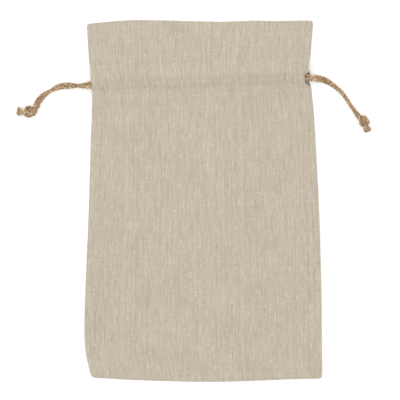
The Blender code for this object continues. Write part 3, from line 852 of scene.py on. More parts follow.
SIDES = (                      # height up the bag, left edge, right edge
    (-0.2258, -0.1382, 0.1483), (-0.2060, -0.1431, 0.1483), (-0.1900, -0.1466, 0.1481),
    (-0.1660, -0.1483, 0.1480), (-0.1060, -0.1469, 0.1473), (-0.0160, -0.1430, 0.1446),
    (0.0740, -0.1404, 0.1402), (0.1160, -0.1387, 0.1373), (0.1360, -0.1387, 0.1351),
    (0.1600, -0.1410, 0.1320), (0.1900, -0.1434, 0.1343), (0.2258, -0.1455, 0.1372),
)
# The foot and the top fold: place across the bag, height up it.
FOOT = ((-0.1400, -0.2204), (-0.0790, -0.2238), (0.0150, -0.2258), (0.1080, -0.2227),
        (0.1480, -0.2217))
TOP = ((-0.1455, 0.2210), (-0.1040, 0.2249), (-0.0750, 0.2258), (0.0210, 0.2238),
       (0.0650, 0.2251), (0.0900, 0.2246), (0.1270, 0.2251), (0.1380, 0.2247))

FACING_SLANT = 0.030           # the facings' lower edges drop by this much for each metre left
# The front layer from the body up over the facings and the cords to the heading: distance from
# the channel's line, height of the layer's middle.
FRONT_PROFILE = (
    (-0.0320, 0.0019), (-0.0286, 0.0020), (-0.0260, 0.0024), (-0.0236, 0.0031),
    (-0.0211, 0.0040), (-0.0188, 0.0046), (-0.0160, 0.0047), (-0.0092, 0.0047),
    (-0.0083, 0.00466), (-0.0072, 0.00468), (-0.0062, 0.0049), (-0.0052, 0.0054),
    (-0.0040, 0.0062), (-0.0029, 0.0070), (-0.0020, 0.00752), (-0.0009, 0.00784),
    (0.0006, 0.00796), (0.0024, 0.00824), (0.0045, 0.0086), (0.0070, 0.0088), (0.0100, 0.0088),
    (0.0125, 0.0087), (0.0146, 0.0084), (0.0166, 0.0077), (0.0190, 0.0067), (0.0214, 0.0056),
    (0.0234, 0.0049), (0.0245, 0.00464), (0.0252, 0.00462), (0.0262, 0.0047), (0.0300, 0.0047),
)
print("the profile over the channel has", len(FRONT_PROFILE), "points")

# %% Heights of the layers
PROBE = 0.0002                 # step over which a slope is measured
FOLD_ENDS = 0.3                # of its height, what a fold has at its ends


def eased(value):
    """0 to 1 with flat ends, as half a cosine wave."""
    return (1 - np.cos(np.pi * np.clip(value, 0.0, 1.0))) / 2


def back_facing_height(up):
    """The back facing rises over its two strands and lies flat elsewhere."""
    beside = np.maximum(up - BACK_HIGH, BACK_LOW - up) / EDGE_EASE
    return FACING_OVER_STRAND - (FACING_OVER_STRAND - BACK_FACING) * eased(beside)


def front_facing_height(up):
    """The front facing lies on the back one."""
    slope = (back_facing_height(up + PROBE) - back_facing_height(up - PROBE)) / (2 * PROBE)
    return back_facing_height(up) + PITCH * np.hypot(1.0, slope)


def ridges(x, y, folds):
    """Height of soft folds: each is a ridge that fades towards both ends."""
    rise = np.zeros_like(x)
    for start, end, height, half_width in folds:
        run_x, run_y = end[0] - start[0], end[1] - start[1]
        f = ((x - start[0]) * run_x + (y - start[1]) * run_y) / (run_x**2 + run_y**2)
        f = np.clip(f, 0.0, 1.0)
        away = np.hypot(x - start[0] - run_x * f, y - start[1] - run_y * f)
        share = FOLD_ENDS + (1.0 - FOLD_ENDS) * np.sin(np.pi * f)
        rise += height * np.exp(-(away / half_width)**2) * share
    return rise


print("facings over the cords:", round(float(back_facing_height(0.012)), 4),
      round(float(front_facing_height(0.012)), 4))

# %% Folds, puckers and swells of the front
FOLDS = (                      # start, end, height, half width: these are the CAD's too
    ((0.1010, 0.1330), (0.1190, 0.0780), 0.0009, 0.0075),
    ((0.1285, 0.1240), (0.1340, 0.0150), 0.0007, 0.0070),
    ((-0.1220, 0.0830), (-0.1290, 0.0020), 0.0007, 0.0080),
    ((-0.1330, 0.0300), (-0.1360, -0.2080), 0.0003, 0.0070),
    ((0.1380, -0.0300), (0.1400, -0.2080), 0.0004, 0.0070),
    ((-0.0200, 0.1080), (-0.0350, 0.0500), 0.0005, 0.0140),
    ((0.0350, 0.0200), (0.0150, -0.1400), 0.0005, 0.0260),
    ((-0.0800, -0.0300), (-0.0950, -0.1700), 0.0004, 0.0240),
)
SMALL_FOLDS = (                # short ones, drawn out from the ends of the channel and the seams
    ((0.1290, 0.1400), (0.1180, 0.1300), 0.0004, 0.0022),
    ((0.1300, 0.1360), (0.1235, 0.1150), 0.0005, 0.0030),
    ((0.1270, 0.1700), (0.1120, 0.1780), 0.0004, 0.0028),
    ((0.1210, 0.1320), (0.1020, 0.1240), 0.0003, 0.0030),
    ((-0.1340, 0.1350), (-0.1260, 0.1180), 0.0004, 0.0028),
    ((-0.1330, 0.1690), (-0.1180, 0.1800), 0.0003, 0.0030),
    ((-0.1200, 0.1330), (-0.1120, 0.1020), 0.0004, 0.0040),
    ((0.0900, 0.1290), (0.0960, 0.0960), 0.0003, 0.0045),
    ((-0.1400, -0.1500), (-0.1250, -0.2100), 0.0003, 0.0050),
    ((0.1200, -0.1900), (0.1400, -0.2130), 0.0004, 0.0040),
)
# Puckers beside a row of stitches, and beside a seam: how many, between which places, how far
# from it, how far they stray along it, and the ranges of their length, lean, height and half width.
ROW_PUCKERS = (44, (-0.1300, 0.1270), 0.0012, 0.0025)
ROW_PUCKER = ((0.0045, 0.0125), (-0.3, 0.3), (0.00010, 0.00050), (0.0012, 0.0024))
SEAM_PUCKERS = (26, (-0.2100, 0.1100), 0.0035, 0.0030)
SEAM_PUCKER = ((0.0050, 0.0150), (-0.4, 0.4), (0.00008, 0.00040), (0.0016, 0.0030))
PUCKER_SEED = 5
SWELLS = 9
SWELL = 0.00045
SWELL_GAIN = 2.2               # the waves seldom add up, so their mean is raised by this
SWELL_LENGTHS = (0.028, 0.110)
SWELL_SEED = 11


def pucker(start, out, aside, ranges, rng):
    """A short fold that runs out from its start, square to a row or a seam or nearly so."""
    lengths, leans, heights, half_widths = ranges
    length = rng.uniform(*lengths)
    lean = rng.uniform(*leans)
    end = tuple(s + o * length + a * lean * length for s, o, a in zip(start, out, aside))
    return start, end, rng.uniform(*heights), rng.uniform(*half_widths)


def pucker_folds():
    """All puckers, which start at a row of stitches or a seam."""
    rng = np.random.default_rng(PUCKER_SEED)
    folds = []
    count, ends, away, stray = ROW_PUCKERS
    for row, way in ((LOWER_STITCH - away, -1.0), (UPPER_STITCH + away, 1.0)):
        for place in np.linspace(*ends, count):
            x = place + rng.uniform(-stray, stray)
            folds.append(pucker((x, channel(x) + row), (0.0, way), (1.0, 0.0), ROW_PUCKER, rng))
    count, ends, away, stray = SEAM_PUCKERS
    for edge, way in ((1, 1.0), (2, -1.0)):
        for y in np.linspace(*ends, count) + rng.uniform(-stray, stray):
            x = float(between(SIDES, y, edge)) + way * away
            folds.append(pucker((x, y), (way, 0.0), (0.0, 1.0), SEAM_PUCKER, rng))
    return folds


def swells(x, y):
    """Low, broad unevenness of a sheet that lies loose, never below its flat height."""
    rng = np.random.default_rng(SWELL_SEED)
    waves = np.zeros_like(x)
    for _ in range(SWELLS):
        angle, phase = rng.uniform(0, np.pi), rng.uniform(0, 2 * np.pi)
        length = rng.uniform(*SWELL_LENGTHS)
        waves += np.sin((x * math.cos(angle) + y * math.sin(angle)) * 2 * np.pi / length + phase)
    return SWELL * (1.0 + waves / SWELLS * SWELL_GAIN).clip(0.0, None)


ALL_FOLDS = (*FOLDS, *SMALL_FOLDS, *pucker_folds())
print(len(ALL_FOLDS), "folds and puckers")

# %% Where the seams draw the layers together
SIDE_SEAM = 0.0040             # run over which a layer comes down to the seam
BODY_SEAM, BODY_KEPT = 0.0012, 0.49       # height of the seam, share of a layer's height kept
HEAD_SEAM, HEAD_KEPT = 0.0024, 0.165      # the same where there are facings
HEAD_FROM, HEAD_EASE = -0.0280, 0.0140    # above the channel's line, where they start
MOUTH_FROM, MOUTH_TO, MOUTH_EASE = -0.0125, 0.0235, 0.0045   # where the side seam is left open
TOP_OPEN = 0.0080              # and the run under the top fold where it opens
ALLOWANCE = 0.0105             # width of the seam allowance between the layers
ALLOWANCE_RISE = 0.00050
# The ridge over it: where it starts, how far past the allowance it ends, and the run of each slope.
RIDGE_FROM, RIDGE_UP = 0.0012, 0.0030
RIDGE_PAST, RIDGE_DOWN = 0.0015, 0.0022
BODY_TO, BODY_EASE = -0.0240, 0.0060      # above the channel's line, where the body alone ends
ALLOWANCE_THROUGH_AND_SHADE = 0.12         # a share of a cord's: how much the allowance shows through the layer over it, partly as painted shade


def quarter(distance, run):
    """0 at an edge, rising as a quarter circle to 1 at the end of the run."""
    rest = 1.0 - np.clip(distance / run, 0.0, 1.0)
    return np.sqrt(np.clip(1.0 - rest**2, 0.0, 1.0))


def seamed(z, up, side_gap, foot_gap, top_gap):
    """A layer's height after the seams at the sides and the foot have drawn it in."""
    raised = eased((up - HEAD_FROM) / HEAD_EASE)
    level = BODY_SEAM + (HEAD_SEAM - BODY_SEAM) * raised
    kept = BODY_KEPT + (HEAD_KEPT - BODY_KEPT) * raised
    mouth = eased((up - MOUTH_FROM) / MOUTH_EASE) * eased((MOUTH_TO - up) / MOUTH_EASE)
    open_share = np.maximum(mouth, eased(1.0 - top_gap / TOP_OPEN))
    side = quarter(side_gap, SIDE_SEAM)
    side = side + (1.0 - side) * open_share
    drawn = kept + (1.0 - kept) * side * quarter(foot_gap, SIDE_SEAM)
    return level + (z - level) * drawn


def allowance_rise(up, side_gap, foot_gap):
    """The low ridge over the seam allowances of the sides and the foot."""
    def over(gap):
        return (eased((gap - RIDGE_FROM) / RIDGE_UP)
                * eased((ALLOWANCE + RIDGE_PAST - gap) / RIDGE_DOWN))
    body = eased((BODY_TO - up) / BODY_EASE)
    ends = quarter(np.minimum(side_gap, foot_gap), RIDGE_UP)
    return ALLOWANCE_RISE * np.maximum(over(side_gap), over(foot_gap)) * body * ends


print("a side seam's edge is", round((PITCH * BODY_KEPT + SHEET) * 1000, 2), "mm thick")

# %% Laying out the rows and columns
# Distances from an edge of its rows and columns.
EDGE_PLACES = (0.0, 0.00015, 0.0004, 0.0008, 0.0014, 0.0022, 0.0032, 0.0045)
CHANNEL_ZONE = 0.0300          # above and below the channel's line, where its own rows are
BODY_RUN = 0.340               # from the foot to there, about
HEADING_RUN = 0.045            # and from there to the top
LAST_SHARE = 0.985             # of that, where one more row lies close under the top fold
TOP_TURN = PITCH / 2           # radius of the top fold
FOLD_TURNS = np.radians((20, 40, 60, 80, 100, 120, 140, 160))


def column_shares(step):
    """Places of the columns across the width, close together near both edges."""
    near = np.array(EDGE_PLACES) / WIDTH
    count = round((1.0 - 2 * near[-1]) * WIDTH / step)
    middle = np.linspace(near[-1], 1.0 - near[-1], count + 1)[1:-1]
    return np.concatenate([near, middle, 1.0 - near[::-1]])


def body_rows(step):
    """Rows from the foot up to the channel's; each is a function: height up the bag at a place."""
    rows = [lambda x, e=e: between(FOOT, x) + e for e in EDGE_PLACES]
    for f in np.linspace(0.0, 1.0, round(BODY_RUN / step))[1:-1]:
        rows.append(lambda x, f=f: ((between(FOOT, x) + EDGE_PLACES[-1]) * (1 - f)
                                    + (channel(x) - CHANNEL_ZONE) * f))
    return rows


def channel_rows(start, end, step):
    """Rows along the channel, from one distance above its line to another."""
    return [lambda x, up=up: channel(x) + up
            for up in np.linspace(start, end, round(abs(end - start) / step) + 1)]


def heading_rows(step):
    """Rows from the channel's to just under the top fold."""
    shares = list(np.linspace(0.0, 1.0, round(HEADING_RUN / step)))[1:]
    shares.insert(-1, LAST_SHARE)
    return [lambda x, f=f: ((channel(x) + CHANNEL_ZONE) * (1 - f)
                            + (between(TOP, x) - TOP_TURN - SHEET / 2) * f) for f in shares]


def side_inset(x, y, middle, reach, depth):
    """How far a side edge is drawn in: at the rounded corners, and at the channel's mouth."""
    inset = depth * (1 - eased((np.abs(y - channel(x) - middle) - reach) / NOTCH_EASE + 1.0))
    for distance in (y - between(FOOT, x), between(TOP, x) - y):
        rest = CORNER_RADIUS - np.clip(distance, 0.0, CORNER_RADIUS)
        inset = inset + CORNER_RADIUS - np.sqrt(CORNER_RADIUS**2 - rest**2)
    return inset


def laid_row(height_at, shares, middle, reach, left_depth, right_depth, inset=0.0):
    """Places across the cloth on one row, and their distances from the nearer side edge."""
    x = SIDES[0][1] + (SIDES[0][2] - SIDES[0][1]) * shares
    for _ in range(4):
        y = height_at(x)
        left = between(SIDES, y, 1) + side_inset(x, y, middle, reach, left_depth) + inset
        right = between(SIDES, y, 2) - side_inset(x, y, middle, reach, right_depth) - inset
        x = left + (right - left) * shares
    return x, height_at(x), np.minimum(x - left, right - x)


def cloth_place(x, y):
    """Share of the way across the cloth, which a notch or a rounded corner doesn't change."""
    left, right = between(SIDES, y, 1), between(SIDES, y, 2)
    return (x - left) / (right - left)


# Steps from column to column, from row to row, and from row to row in the channel.
FRONT_STEPS, BACK_STEPS = (0.0016, 0.0030, 0.0009), (0.0034, 0.0060, 0.0020)
print(len(column_shares(FRONT_STEPS[0])), "columns across the front")

# %% Building a sheet from its rows
SHARP_ANGLE = 60               # degrees between two faces from which their edge stays sharp
CALM, CALM_EASE = 0.75, 0.0080 # of the swells, what the stitching takes out, and over what run
SLANT_TO, SLANT_EASE = -0.0095, 0.0060     # above the channel's line, where the slant ends
SETTLE = 0.006                 # run over which the folds rise from an edge
# The cords that show through the front layer, partly as painted shade: middle and half of their
# width above the channel's line, their middle and half of their length across the bag, and the run
# over which their ends fade.
CORDS_UP, CORDS_ACROSS, CORDS_FADE = (0.0019, 0.0044), (-0.003, 0.1330), 0.004
# The seam allowance that shows through, partly as painted shade: its distances from the side, and
# the runs over which it fades.
ALLOWANCE_UNDER, ALLOWANCE_FADES = (0.0030, 0.0170), (0.0040, 0.0050)
FACING_STEP = 1.6              # a facing's rows are coarser by this


def sheet_object(name, grid, places, through_and_shade):
    """A grid of middle points made into a sheet of cloth, with its UV map in metres of cloth."""
    rows, columns = grid.shape[:2]
    index = np.arange(rows * columns).reshape(rows, columns)
    quads = np.stack([index[:-1, :-1], index[:-1, 1:], index[1:, 1:], index[1:, :-1]], axis=-1)
    cloth = mesh_object(name, grid.reshape(-1, 3).tolist(), quads.reshape(-1, 4).tolist())
    steps = length_of(np.diff(grid, axis=0))[:, columns // 4:-columns // 4, 0].mean(1)
    up_cloth = np.concatenate([[0.0], np.cumsum(steps)])
    flat = np.stack([places * WIDTH, np.repeat(up_cloth[:, None], columns, axis=1)], axis=-1)
    give_uv(cloth.data, flat.reshape(-1, 2))
    # The show-through of cords and allowances, partly painted shade, kept on each point.
    give_values(cloth.data, "through_and_shade", through_and_shade)
    bpy.ops.object.select_all(action="DESELECT")
    cloth.select_set(True)
    bpy.context.view_layer.objects.active = cloth
    thick = cloth.modifiers.new("thickness", "SOLIDIFY")
    thick.thickness = SHEET
    thick.offset = 0.0
    bpy.ops.object.modifier_apply(modifier=thick.name)
    bpy.ops.object.shade_smooth_by_angle(angle=math.radians(SHARP_ANGLE))
    print(f"{name}: {up_cloth[-1] * 1000:.0f} mm of cloth up and over, "
          f"{len(cloth.data.polygons)} faces")
    return cloth


def through_and_painted_shade(x, up, side_gap):
    """How much a cord or a seam allowance darkens the front layer: show-through and painted shade.
    """
    cords = (np.exp(-((up - CORDS_UP[0]) / CORDS_UP[1])**4)
             * eased((CORDS_ACROSS[1] - np.abs(x - CORDS_ACROSS[0])) / CORDS_FADE))
    allowance = (eased((side_gap - ALLOWANCE_UNDER[0]) / ALLOWANCE_FADES[0])
                 * eased((ALLOWANCE_UNDER[1] - side_gap) / ALLOWANCE_FADES[1]))
    return np.maximum(cords, ALLOWANCE_THROUGH_AND_SHADE * allowance * eased((BODY_TO - up) / BODY_EASE))


def front_height(x, y, up, side_gap, foot_gap, top_gap):
    """Height of the front layer over what it lies on, with its folds, puckers and swells."""
    settled = quarter(side_gap, SETTLE) * quarter(foot_gap, SETTLE) * quarter(top_gap, SETTLE)
    calm = 1.0 - CALM * eased((up + CHANNEL_ZONE) / CALM_EASE)
    slant = FACING_SLANT * x * eased((SLANT_TO - up) / SLANT_EASE)
    return (between(FRONT_PROFILE, up - slant) + allowance_rise(up, side_gap, foot_gap)
            + ridges(x, y, ALL_FOLDS) * settled + swells(x, y) * settled * calm)


def top_fold(last, outer, facing):
    """Rows round the top fold, from the outer layer's last row to the facing's first."""
    half = (outer - facing) / 2
    return [last + (0.0, TOP_TURN * math.sin(turn), half * (math.cos(turn) - 1))
            for turn in FOLD_TURNS]


def make_panel(name, front, column_step, row_step, channel_step):
    """One side of the bag: up its outer layer, over the top fold and down its facing."""
    shares = column_shares(column_step)
    notches = (LEFT_NOTCH, RIGHT_NOTCH) if front else (0.0, 0.0)
    grid, places, through_and_shade = [], [], []

    def lay(row, row_places, row_through_and_shade=np.zeros(len(shares))):
        grid.append(row)
        places.append(row_places)
        through_and_shade.append(row_through_and_shade)

    for height_at in (body_rows(row_step) + channel_rows(-CHANNEL_ZONE, CHANNEL_ZONE, channel_step)
                      + heading_rows(row_step)):
        x, y, side_gap = laid_row(height_at, shares, NOTCH_MIDDLE, NOTCH_REACH, *notches)
        up, foot_gap, top_gap = y - channel(x), y - between(FOOT, x), between(TOP, x) - y
        z = (front_height(x, y, up, side_gap, foot_gap, top_gap) if front
             else np.full_like(x, BACK_OUTER))
        z = seamed(z, up, side_gap, foot_gap, top_gap)
        lay(np.stack([x, y, z], axis=1), cloth_place(x, y),
            through_and_painted_shade(x, up, side_gap) if front else np.zeros_like(x))
    facing_height = front_facing_height if front else back_facing_height
    outer, facing = (FRONT_OUTER, FRONT_FACING) if front else (BACK_OUTER, BACK_FACING)
    fold_offset = grid[-1][:, 2] - outer
    for row in top_fold(grid[-1], outer, facing):
        lay(row, places[-1])
    down = heading_rows(row_step)[::-1] + channel_rows(CHANNEL_ZONE, -FACING_BELOW_CHANNEL,
                                                       channel_step * FACING_STEP)
    for n, height_at in enumerate(down):
        inset = FACING_INSET * float(eased(n / 3))
        x, y, _ = laid_row(height_at, shares, 0.0, MOUTH_REACH, MOUTH_DEPTH, MOUTH_DEPTH, inset)
        z = facing_height(y - channel(x)) + fold_offset * float(eased(1 - n / 2))
        lay(np.stack([x, y, z], axis=1), cloth_place(x, y))
    return sheet_object(name, np.array(grid), np.array(places), np.array(through_and_shade))


front_cloth = make_panel("front_linen", True, *FRONT_STEPS)
back_cloth = make_panel("back_linen", False, *BACK_STEPS)

# %% [markdown]
# ## Stitching
#
# Two rows of lockstitch hold each facing to its outer layer, one above the cords and one below
# them. The thread is the linen's own colour. One stitch is modelled: a short, fat bar of thread
# whose ends dip into the cloth. It is then laid along the rows, each copy on the cloth's surface,
# a little uneven as a machine leaves it, and each row of copies is one mesh.

# %% One stitch
STITCH_PITCH = 0.0030
STITCH_LENGTH = 0.0025
THREAD = 0.00042               # thickness of a stitch
STITCH_DIP = 0.00030           # how far its ends go down into the cloth
STITCH_RISE = 0.28             # of THREAD, how far its middle line is off the cloth
STITCH_STRAY = 0.00012         # how far a stitch is off its place
STITCH_SKEW = 0.03             # and off its row's way, for each unit of length
ROW_INSET = 0.0022             # from a side edge to a row's first stitch
DROP_FROM = 0.05               # height from which a stitch is dropped onto the cloth

bpy.ops.object.select_all(action="DESELECT")
bpy.ops.mesh.primitive_uv_sphere_add(segments=10, ring_count=8, radius=0.5)
stitch = bpy.context.object
bpy.ops.object.mode_set(mode="EDIT")
bpy.ops.mesh.select_all(action="SELECT")
bpy.ops.transform.rotate(value=math.pi / 2, orient_axis="Y", center_override=(0.0, 0.0, 0.0))
bpy.ops.transform.resize(value=(STITCH_LENGTH, THREAD, THREAD), center_override=(0.0, 0.0, 0.0))
bpy.ops.object.mode_set(mode="OBJECT")
stitch_points = np.empty(3 * len(stitch.data.vertices))
stitch.data.vertices.foreach_get("co", stitch_points)
stitch_points = stitch_points.reshape(-1, 3)
stitch_points[:, 2] -= STITCH_DIP * (stitch_points[:, 0] / (STITCH_LENGTH / 2))**2
# The sphere's faces come in another order each time, so they are sorted.
stitch_faces = sorted(tuple(face.vertices) for face in stitch.data.polygons)
bpy.data.objects.remove(stitch, do_unlink=True)
print("a stitch has", len(stitch_faces), "faces")

# %% Laying the rows of stitches
def add_stitches(vertices, faces, cloth, up, side, rng):
    """The stitches of one row on a cloth's upper or lower surface; side is 1 or -1."""
    left = float(between(SIDES, channel(EDGES[0]) + up, 1)) + ROW_INSET
    right = float(between(SIDES, channel(EDGES[1]) + up, 2)) - ROW_INSET
    for x in np.arange(left, right, STITCH_PITCH):
        x = x + rng.uniform(-STITCH_STRAY, STITCH_STRAY)
        y = channel(x) + up + rng.uniform(-STITCH_STRAY, STITCH_STRAY)
        hit, place, normal, _ = cloth.ray_cast((x, y, DROP_FROM * side), (0.0, 0.0, -side))
        if not hit:
            continue
        skew = rng.uniform(-STITCH_SKEW, STITCH_SKEW)
        ahead = unit(np.array((1.0, CHANNEL_CLIMB + skew, 0.0)))
        out = np.array(normal)
        ahead = unit(ahead - out * np.dot(ahead, out))
        aside = np.cross(out, ahead)
        copy = (stitch_points[:, :1] * ahead + stitch_points[:, 1:2] * aside
                + stitch_points[:, 2:] * out)
        faces += [tuple(len(vertices) + k for k in face) for face in stitch_faces]
        vertices += list(np.array(place) + out * THREAD * STITCH_RISE + copy)


def stitching_object(name, cloth, side, seed):
    """Both rows of stitches on one side of the bag."""
    rng = np.random.default_rng(seed)
    vertices, faces = [], []
    for up in (LOWER_STITCH, UPPER_STITCH):
        add_stitches(vertices, faces, cloth, up, side, rng)
    thing = mesh_object(name, vertices, faces)
    thing.data.shade_smooth()
    print(name, len(faces) // len(stitch_faces), "stitches")
    return thing


front_stitching = stitching_object("front_stitching", front_cloth, 1, 21)
back_stitching = stitching_object("back_stitching", back_cloth, -1, 22)

# %% [markdown]
# ## Materials
#
# Linen is a plain weave of uneven yarns. Each yarn has its own tone, thick places called slubs
# show as short bars, and down the cloth the warp gives fine streaks a few threads wide. Jute is
# coarser: long, shiny fibres that lie along each ply, from straw to brown, and painted shade where
# two plies meet. Both are made of node groups that give masks and heights; the shaders stay in the
# materials. The patterns read the pieces' own UV maps, which are in metres of cloth or cord.

# %% Helpers for node trees
def fill(tree, node, **inputs):
    """Sets a node's inputs, by name or as i0, i1 and so on, to values or to other outputs."""
    for name, value in inputs.items():
        numbered = name[0] == "i" and name[1:].isdigit()
        socket = node.inputs[int(name[1:]) if numbered else name.replace("_", " ")]
        if isinstance(value, bpy.types.NodeSocket):
            tree.links.new(value, socket)
        else:
            socket.default_value = value


def new_node(tree, kind, settings=None, **inputs):
    """A node with its settings and inputs."""
    made = tree.nodes.new(kind)
    for name, value in (settings or {}).items():
        setattr(made, name, value)
    fill(tree, made, **inputs)
    return made


def maths(tree, operation, *values, clamp=False):
    """The result of a Math node."""
    inputs = {f"i{k}": value for k, value in enumerate(values)}
    return new_node(tree, "ShaderNodeMath", {"operation": operation, "use_clamp": clamp},
                    **inputs).outputs[0]


def product(tree, *values):
    """All values multiplied."""
    result = values[0]
    for value in values[1:]:
        result = maths(tree, "MULTIPLY", result, value)
    return result


def total(tree, *values):
    """All values added."""
    result = values[0]
    for value in values[1:]:
        result = maths(tree, "ADD", result, value)
    return result


def centred(tree, value, share):
    """A value about 0.5 made one about 0, as large as its share."""
    return maths(tree, "MULTIPLY_ADD", value, share, -share / 2)


def vector_maths(tree, operation, *values):
    """The result of a Vector Math node."""
    inputs = {f"i{k}": value for k, value in enumerate(values)}
    return new_node(tree, "ShaderNodeVectorMath", {"operation": operation}, **inputs).outputs[0]


def vector_of(tree, x, y):
    """Two values as a vector."""
    return new_node(tree, "ShaderNodeCombineXYZ", X=x, Y=y).outputs[0]


def in_cells(tree, vector, cell):
    """A UV vector counted in cells of this size across and along."""
    return vector_maths(tree, "MULTIPLY", vector, (1.0 / cell[0], 1.0 / cell[1], 1.0))


def noise(tree, vector, detail=2.0, roughness=0.5):
    """Smooth noise about 0.5, with cells one unit wide."""
    return new_node(tree, "ShaderNodeTexNoise", {"noise_dimensions": "2D"}, Vector=vector,
                    Scale=1.0, Detail=detail, Roughness=roughness).outputs["Fac"]


def new_group(name, inputs, outputs):
    """An empty node group with its sockets, and its input and output nodes."""
    tree = bpy.data.node_groups.new(name, "ShaderNodeTree")
    for socket, kind in inputs.items():
        tree.interface.new_socket(socket, in_out="INPUT", socket_type=kind)
    for socket, kind in outputs.items():
        tree.interface.new_socket(socket, in_out="OUTPUT", socket_type=kind)
    return tree, tree.nodes.new("NodeGroupInput"), tree.nodes.new("NodeGroupOutput")


print("helpers for node trees are ready")

# %% Helpers for materials
def new_material(name):
    """A material with nothing in it but its output, and a Principled shader linked to it."""
    made = bpy.data.materials.new(name)
    made.use_nodes = True
    return made, made.node_tree, made.node_tree.nodes["Principled BSDF"]


def pattern_of(tree, group):
    """A node group's outputs on the piece's own UV map."""
    uv = new_node(tree, "ShaderNodeUVMap", {"uv_map": "OFBake"}).outputs["UV"]
    return new_node(tree, "ShaderNodeGroup", {"node_tree": group}, Vector=uv).outputs


def attribute(tree, name):
    """The value of a piece's attribute."""
    return new_node(tree, "ShaderNodeAttribute", {"attribute_name": name}).outputs["Fac"]


def object_place(tree):
    """The place on a piece, in metres."""
    return new_node(tree, "ShaderNodeTexCoord").outputs["Object"]


def mixed(tree, factor, first, second, way="MIX"):
    """Two colours mixed, or the second laid over the first in another way."""
    return new_node(tree, "ShaderNodeMix", {"data_type": "RGBA", "blend_type": way},
                    Factor=factor, i6=first, i7=second).outputs[2]


def relief(tree, height, strength, distance):
    """The normal of a surface with this relief."""
    return new_node(tree, "ShaderNodeBump", Strength=strength, Distance=distance,
                    Height=height).outputs["Normal"]


print("helpers for materials are ready")

# %% The weave of the linen
THREAD_PITCH = 0.00062
WARP_SHARE, WEFT_SHARE = 1.10, 0.42      # how much the tones of the single yarns differ
STEADY_SHARE = 0.16            # of a yarn's tone that is the same from end to end
WARP_RUN, WEFT_RUN = 0.0230, 0.0090      # length for which the rest of it is about the same
STREAK_SHARE, PATCH_SHARE = 0.07, 0.14   # how much streaks and broad patches add to the tones
# Sizes of the cells of the noises, across the cloth and up it.
WARP_STRAYS, WEFT_STRAYS = (0.0035, 0.0120), (0.0140, 0.0030)
STREAKS, PATCHES = (0.0022, 0.0240), (0.034, 0.046)
WARP_SLUBS, WEFT_SLUBS, FLECKS = (0.0008, 0.0120), (0.0070, 0.0010), (0.0048, 0.0011)
WARP_SLUB_FROM, WEFT_SLUB_FROM, SLUB_GAIN, SLUB_HEIGHT = 0.73, 0.75, 7.0, 0.8
FLECK_FROM, FLECK_GAIN = 0.735, 9.0
YARNS_APART = 1.37             # cells from one yarn to the next, so that their tones differ
STRAY = 0.9                    # of a yarn's width, how far it strays
UNDER_HEIGHT = 0.55            # of a crossing's height, what its lower yarn leaves
WARP_ALWAYS, WEFT_ALWAYS = 0.60, 0.30    # how much a yarn's tone shows where it lies under


def yarn_at(tree, place, vector, cell):
    """Place across the yarns of one direction, counted in yarns, that stray from their line."""
    stray = centred(tree, noise(tree, in_cells(tree, vector, cell), 1.0), STRAY)
    return total(tree, maths(tree, "DIVIDE", place, THREAD_PITCH), stray)


def roundness(tree, at):
    """Height of the round yarn there: 0 at its sides, 1 in its middle."""
    return maths(tree, "SINE", product(tree, maths(tree, "FRACT", at), math.pi))


def yarn_tone(tree, number, along, run, share):
    """Tone of the yarn with this number at a place along it, steady for about a run."""
    place = vector_of(tree, product(tree, number, YARNS_APART),
                      maths(tree, "DIVIDE", along, run))
    steady = new_node(tree, "ShaderNodeTexWhiteNoise", {"noise_dimensions": "1D"},
                      W=number).outputs["Value"]
    return total(tree, centred(tree, noise(tree, place, 2.0, 0.6), share),
                 centred(tree, steady, share * STEADY_SHARE))


def rising(tree, lowest, share, value):
    """A value that rises from its lowest with a share of another."""
    return total(tree, lowest, product(tree, value, share))


weave, weave_in, weave_out = new_group(
    "linen_weave", {"Vector": "NodeSocketVector"},
    {"Tone": "NodeSocketFloat", "Height": "NodeSocketFloat", "Slub": "NodeSocketFloat",
     "Fleck": "NodeSocketFloat"})
flat = weave_in.outputs["Vector"]
across, up = new_node(weave, "ShaderNodeSeparateXYZ", Vector=flat).outputs[:2]
warp_at = yarn_at(weave, across, flat, WARP_STRAYS)
weft_at = yarn_at(weave, up, flat, WEFT_STRAYS)
warp_number, weft_number = maths(weave, "FLOOR", warp_at), maths(weave, "FLOOR", weft_at)
warp_round, weft_round = roundness(weave, warp_at), roundness(weave, weft_at)
# At each crossing one yarn lies over the other, in turn.
warp_over = maths(weave, "FLOORED_MODULO", total(weave, warp_number, weft_number), 2.0)
weft_over = maths(weave, "SUBTRACT", 1.0, warp_over)
height = total(
    weave,
    product(weave, warp_over, warp_round,
            rising(weave, UNDER_HEIGHT, 1.0 - UNDER_HEIGHT, weft_round)),
    product(weave, weft_over, weft_round,
            rising(weave, UNDER_HEIGHT, 1.0 - UNDER_HEIGHT, warp_round)))
yarns = total(
    weave,
    product(weave, yarn_tone(weave, warp_number, up, WARP_RUN, WARP_SHARE),
            rising(weave, WARP_ALWAYS, 1.0 - WARP_ALWAYS, warp_over)),
    product(weave, yarn_tone(weave, weft_number, across, WEFT_RUN, WEFT_SHARE),
            rising(weave, WEFT_ALWAYS, 1.0 - WEFT_ALWAYS, weft_over)))
streak = noise(weave, in_cells(weave, flat, STREAKS), 2.0, 0.6)
patch = noise(weave, in_cells(weave, flat, PATCHES))
tone = total(weave, yarns, centred(weave, streak, STREAK_SHARE), centred(weave, patch, PATCH_SHARE))
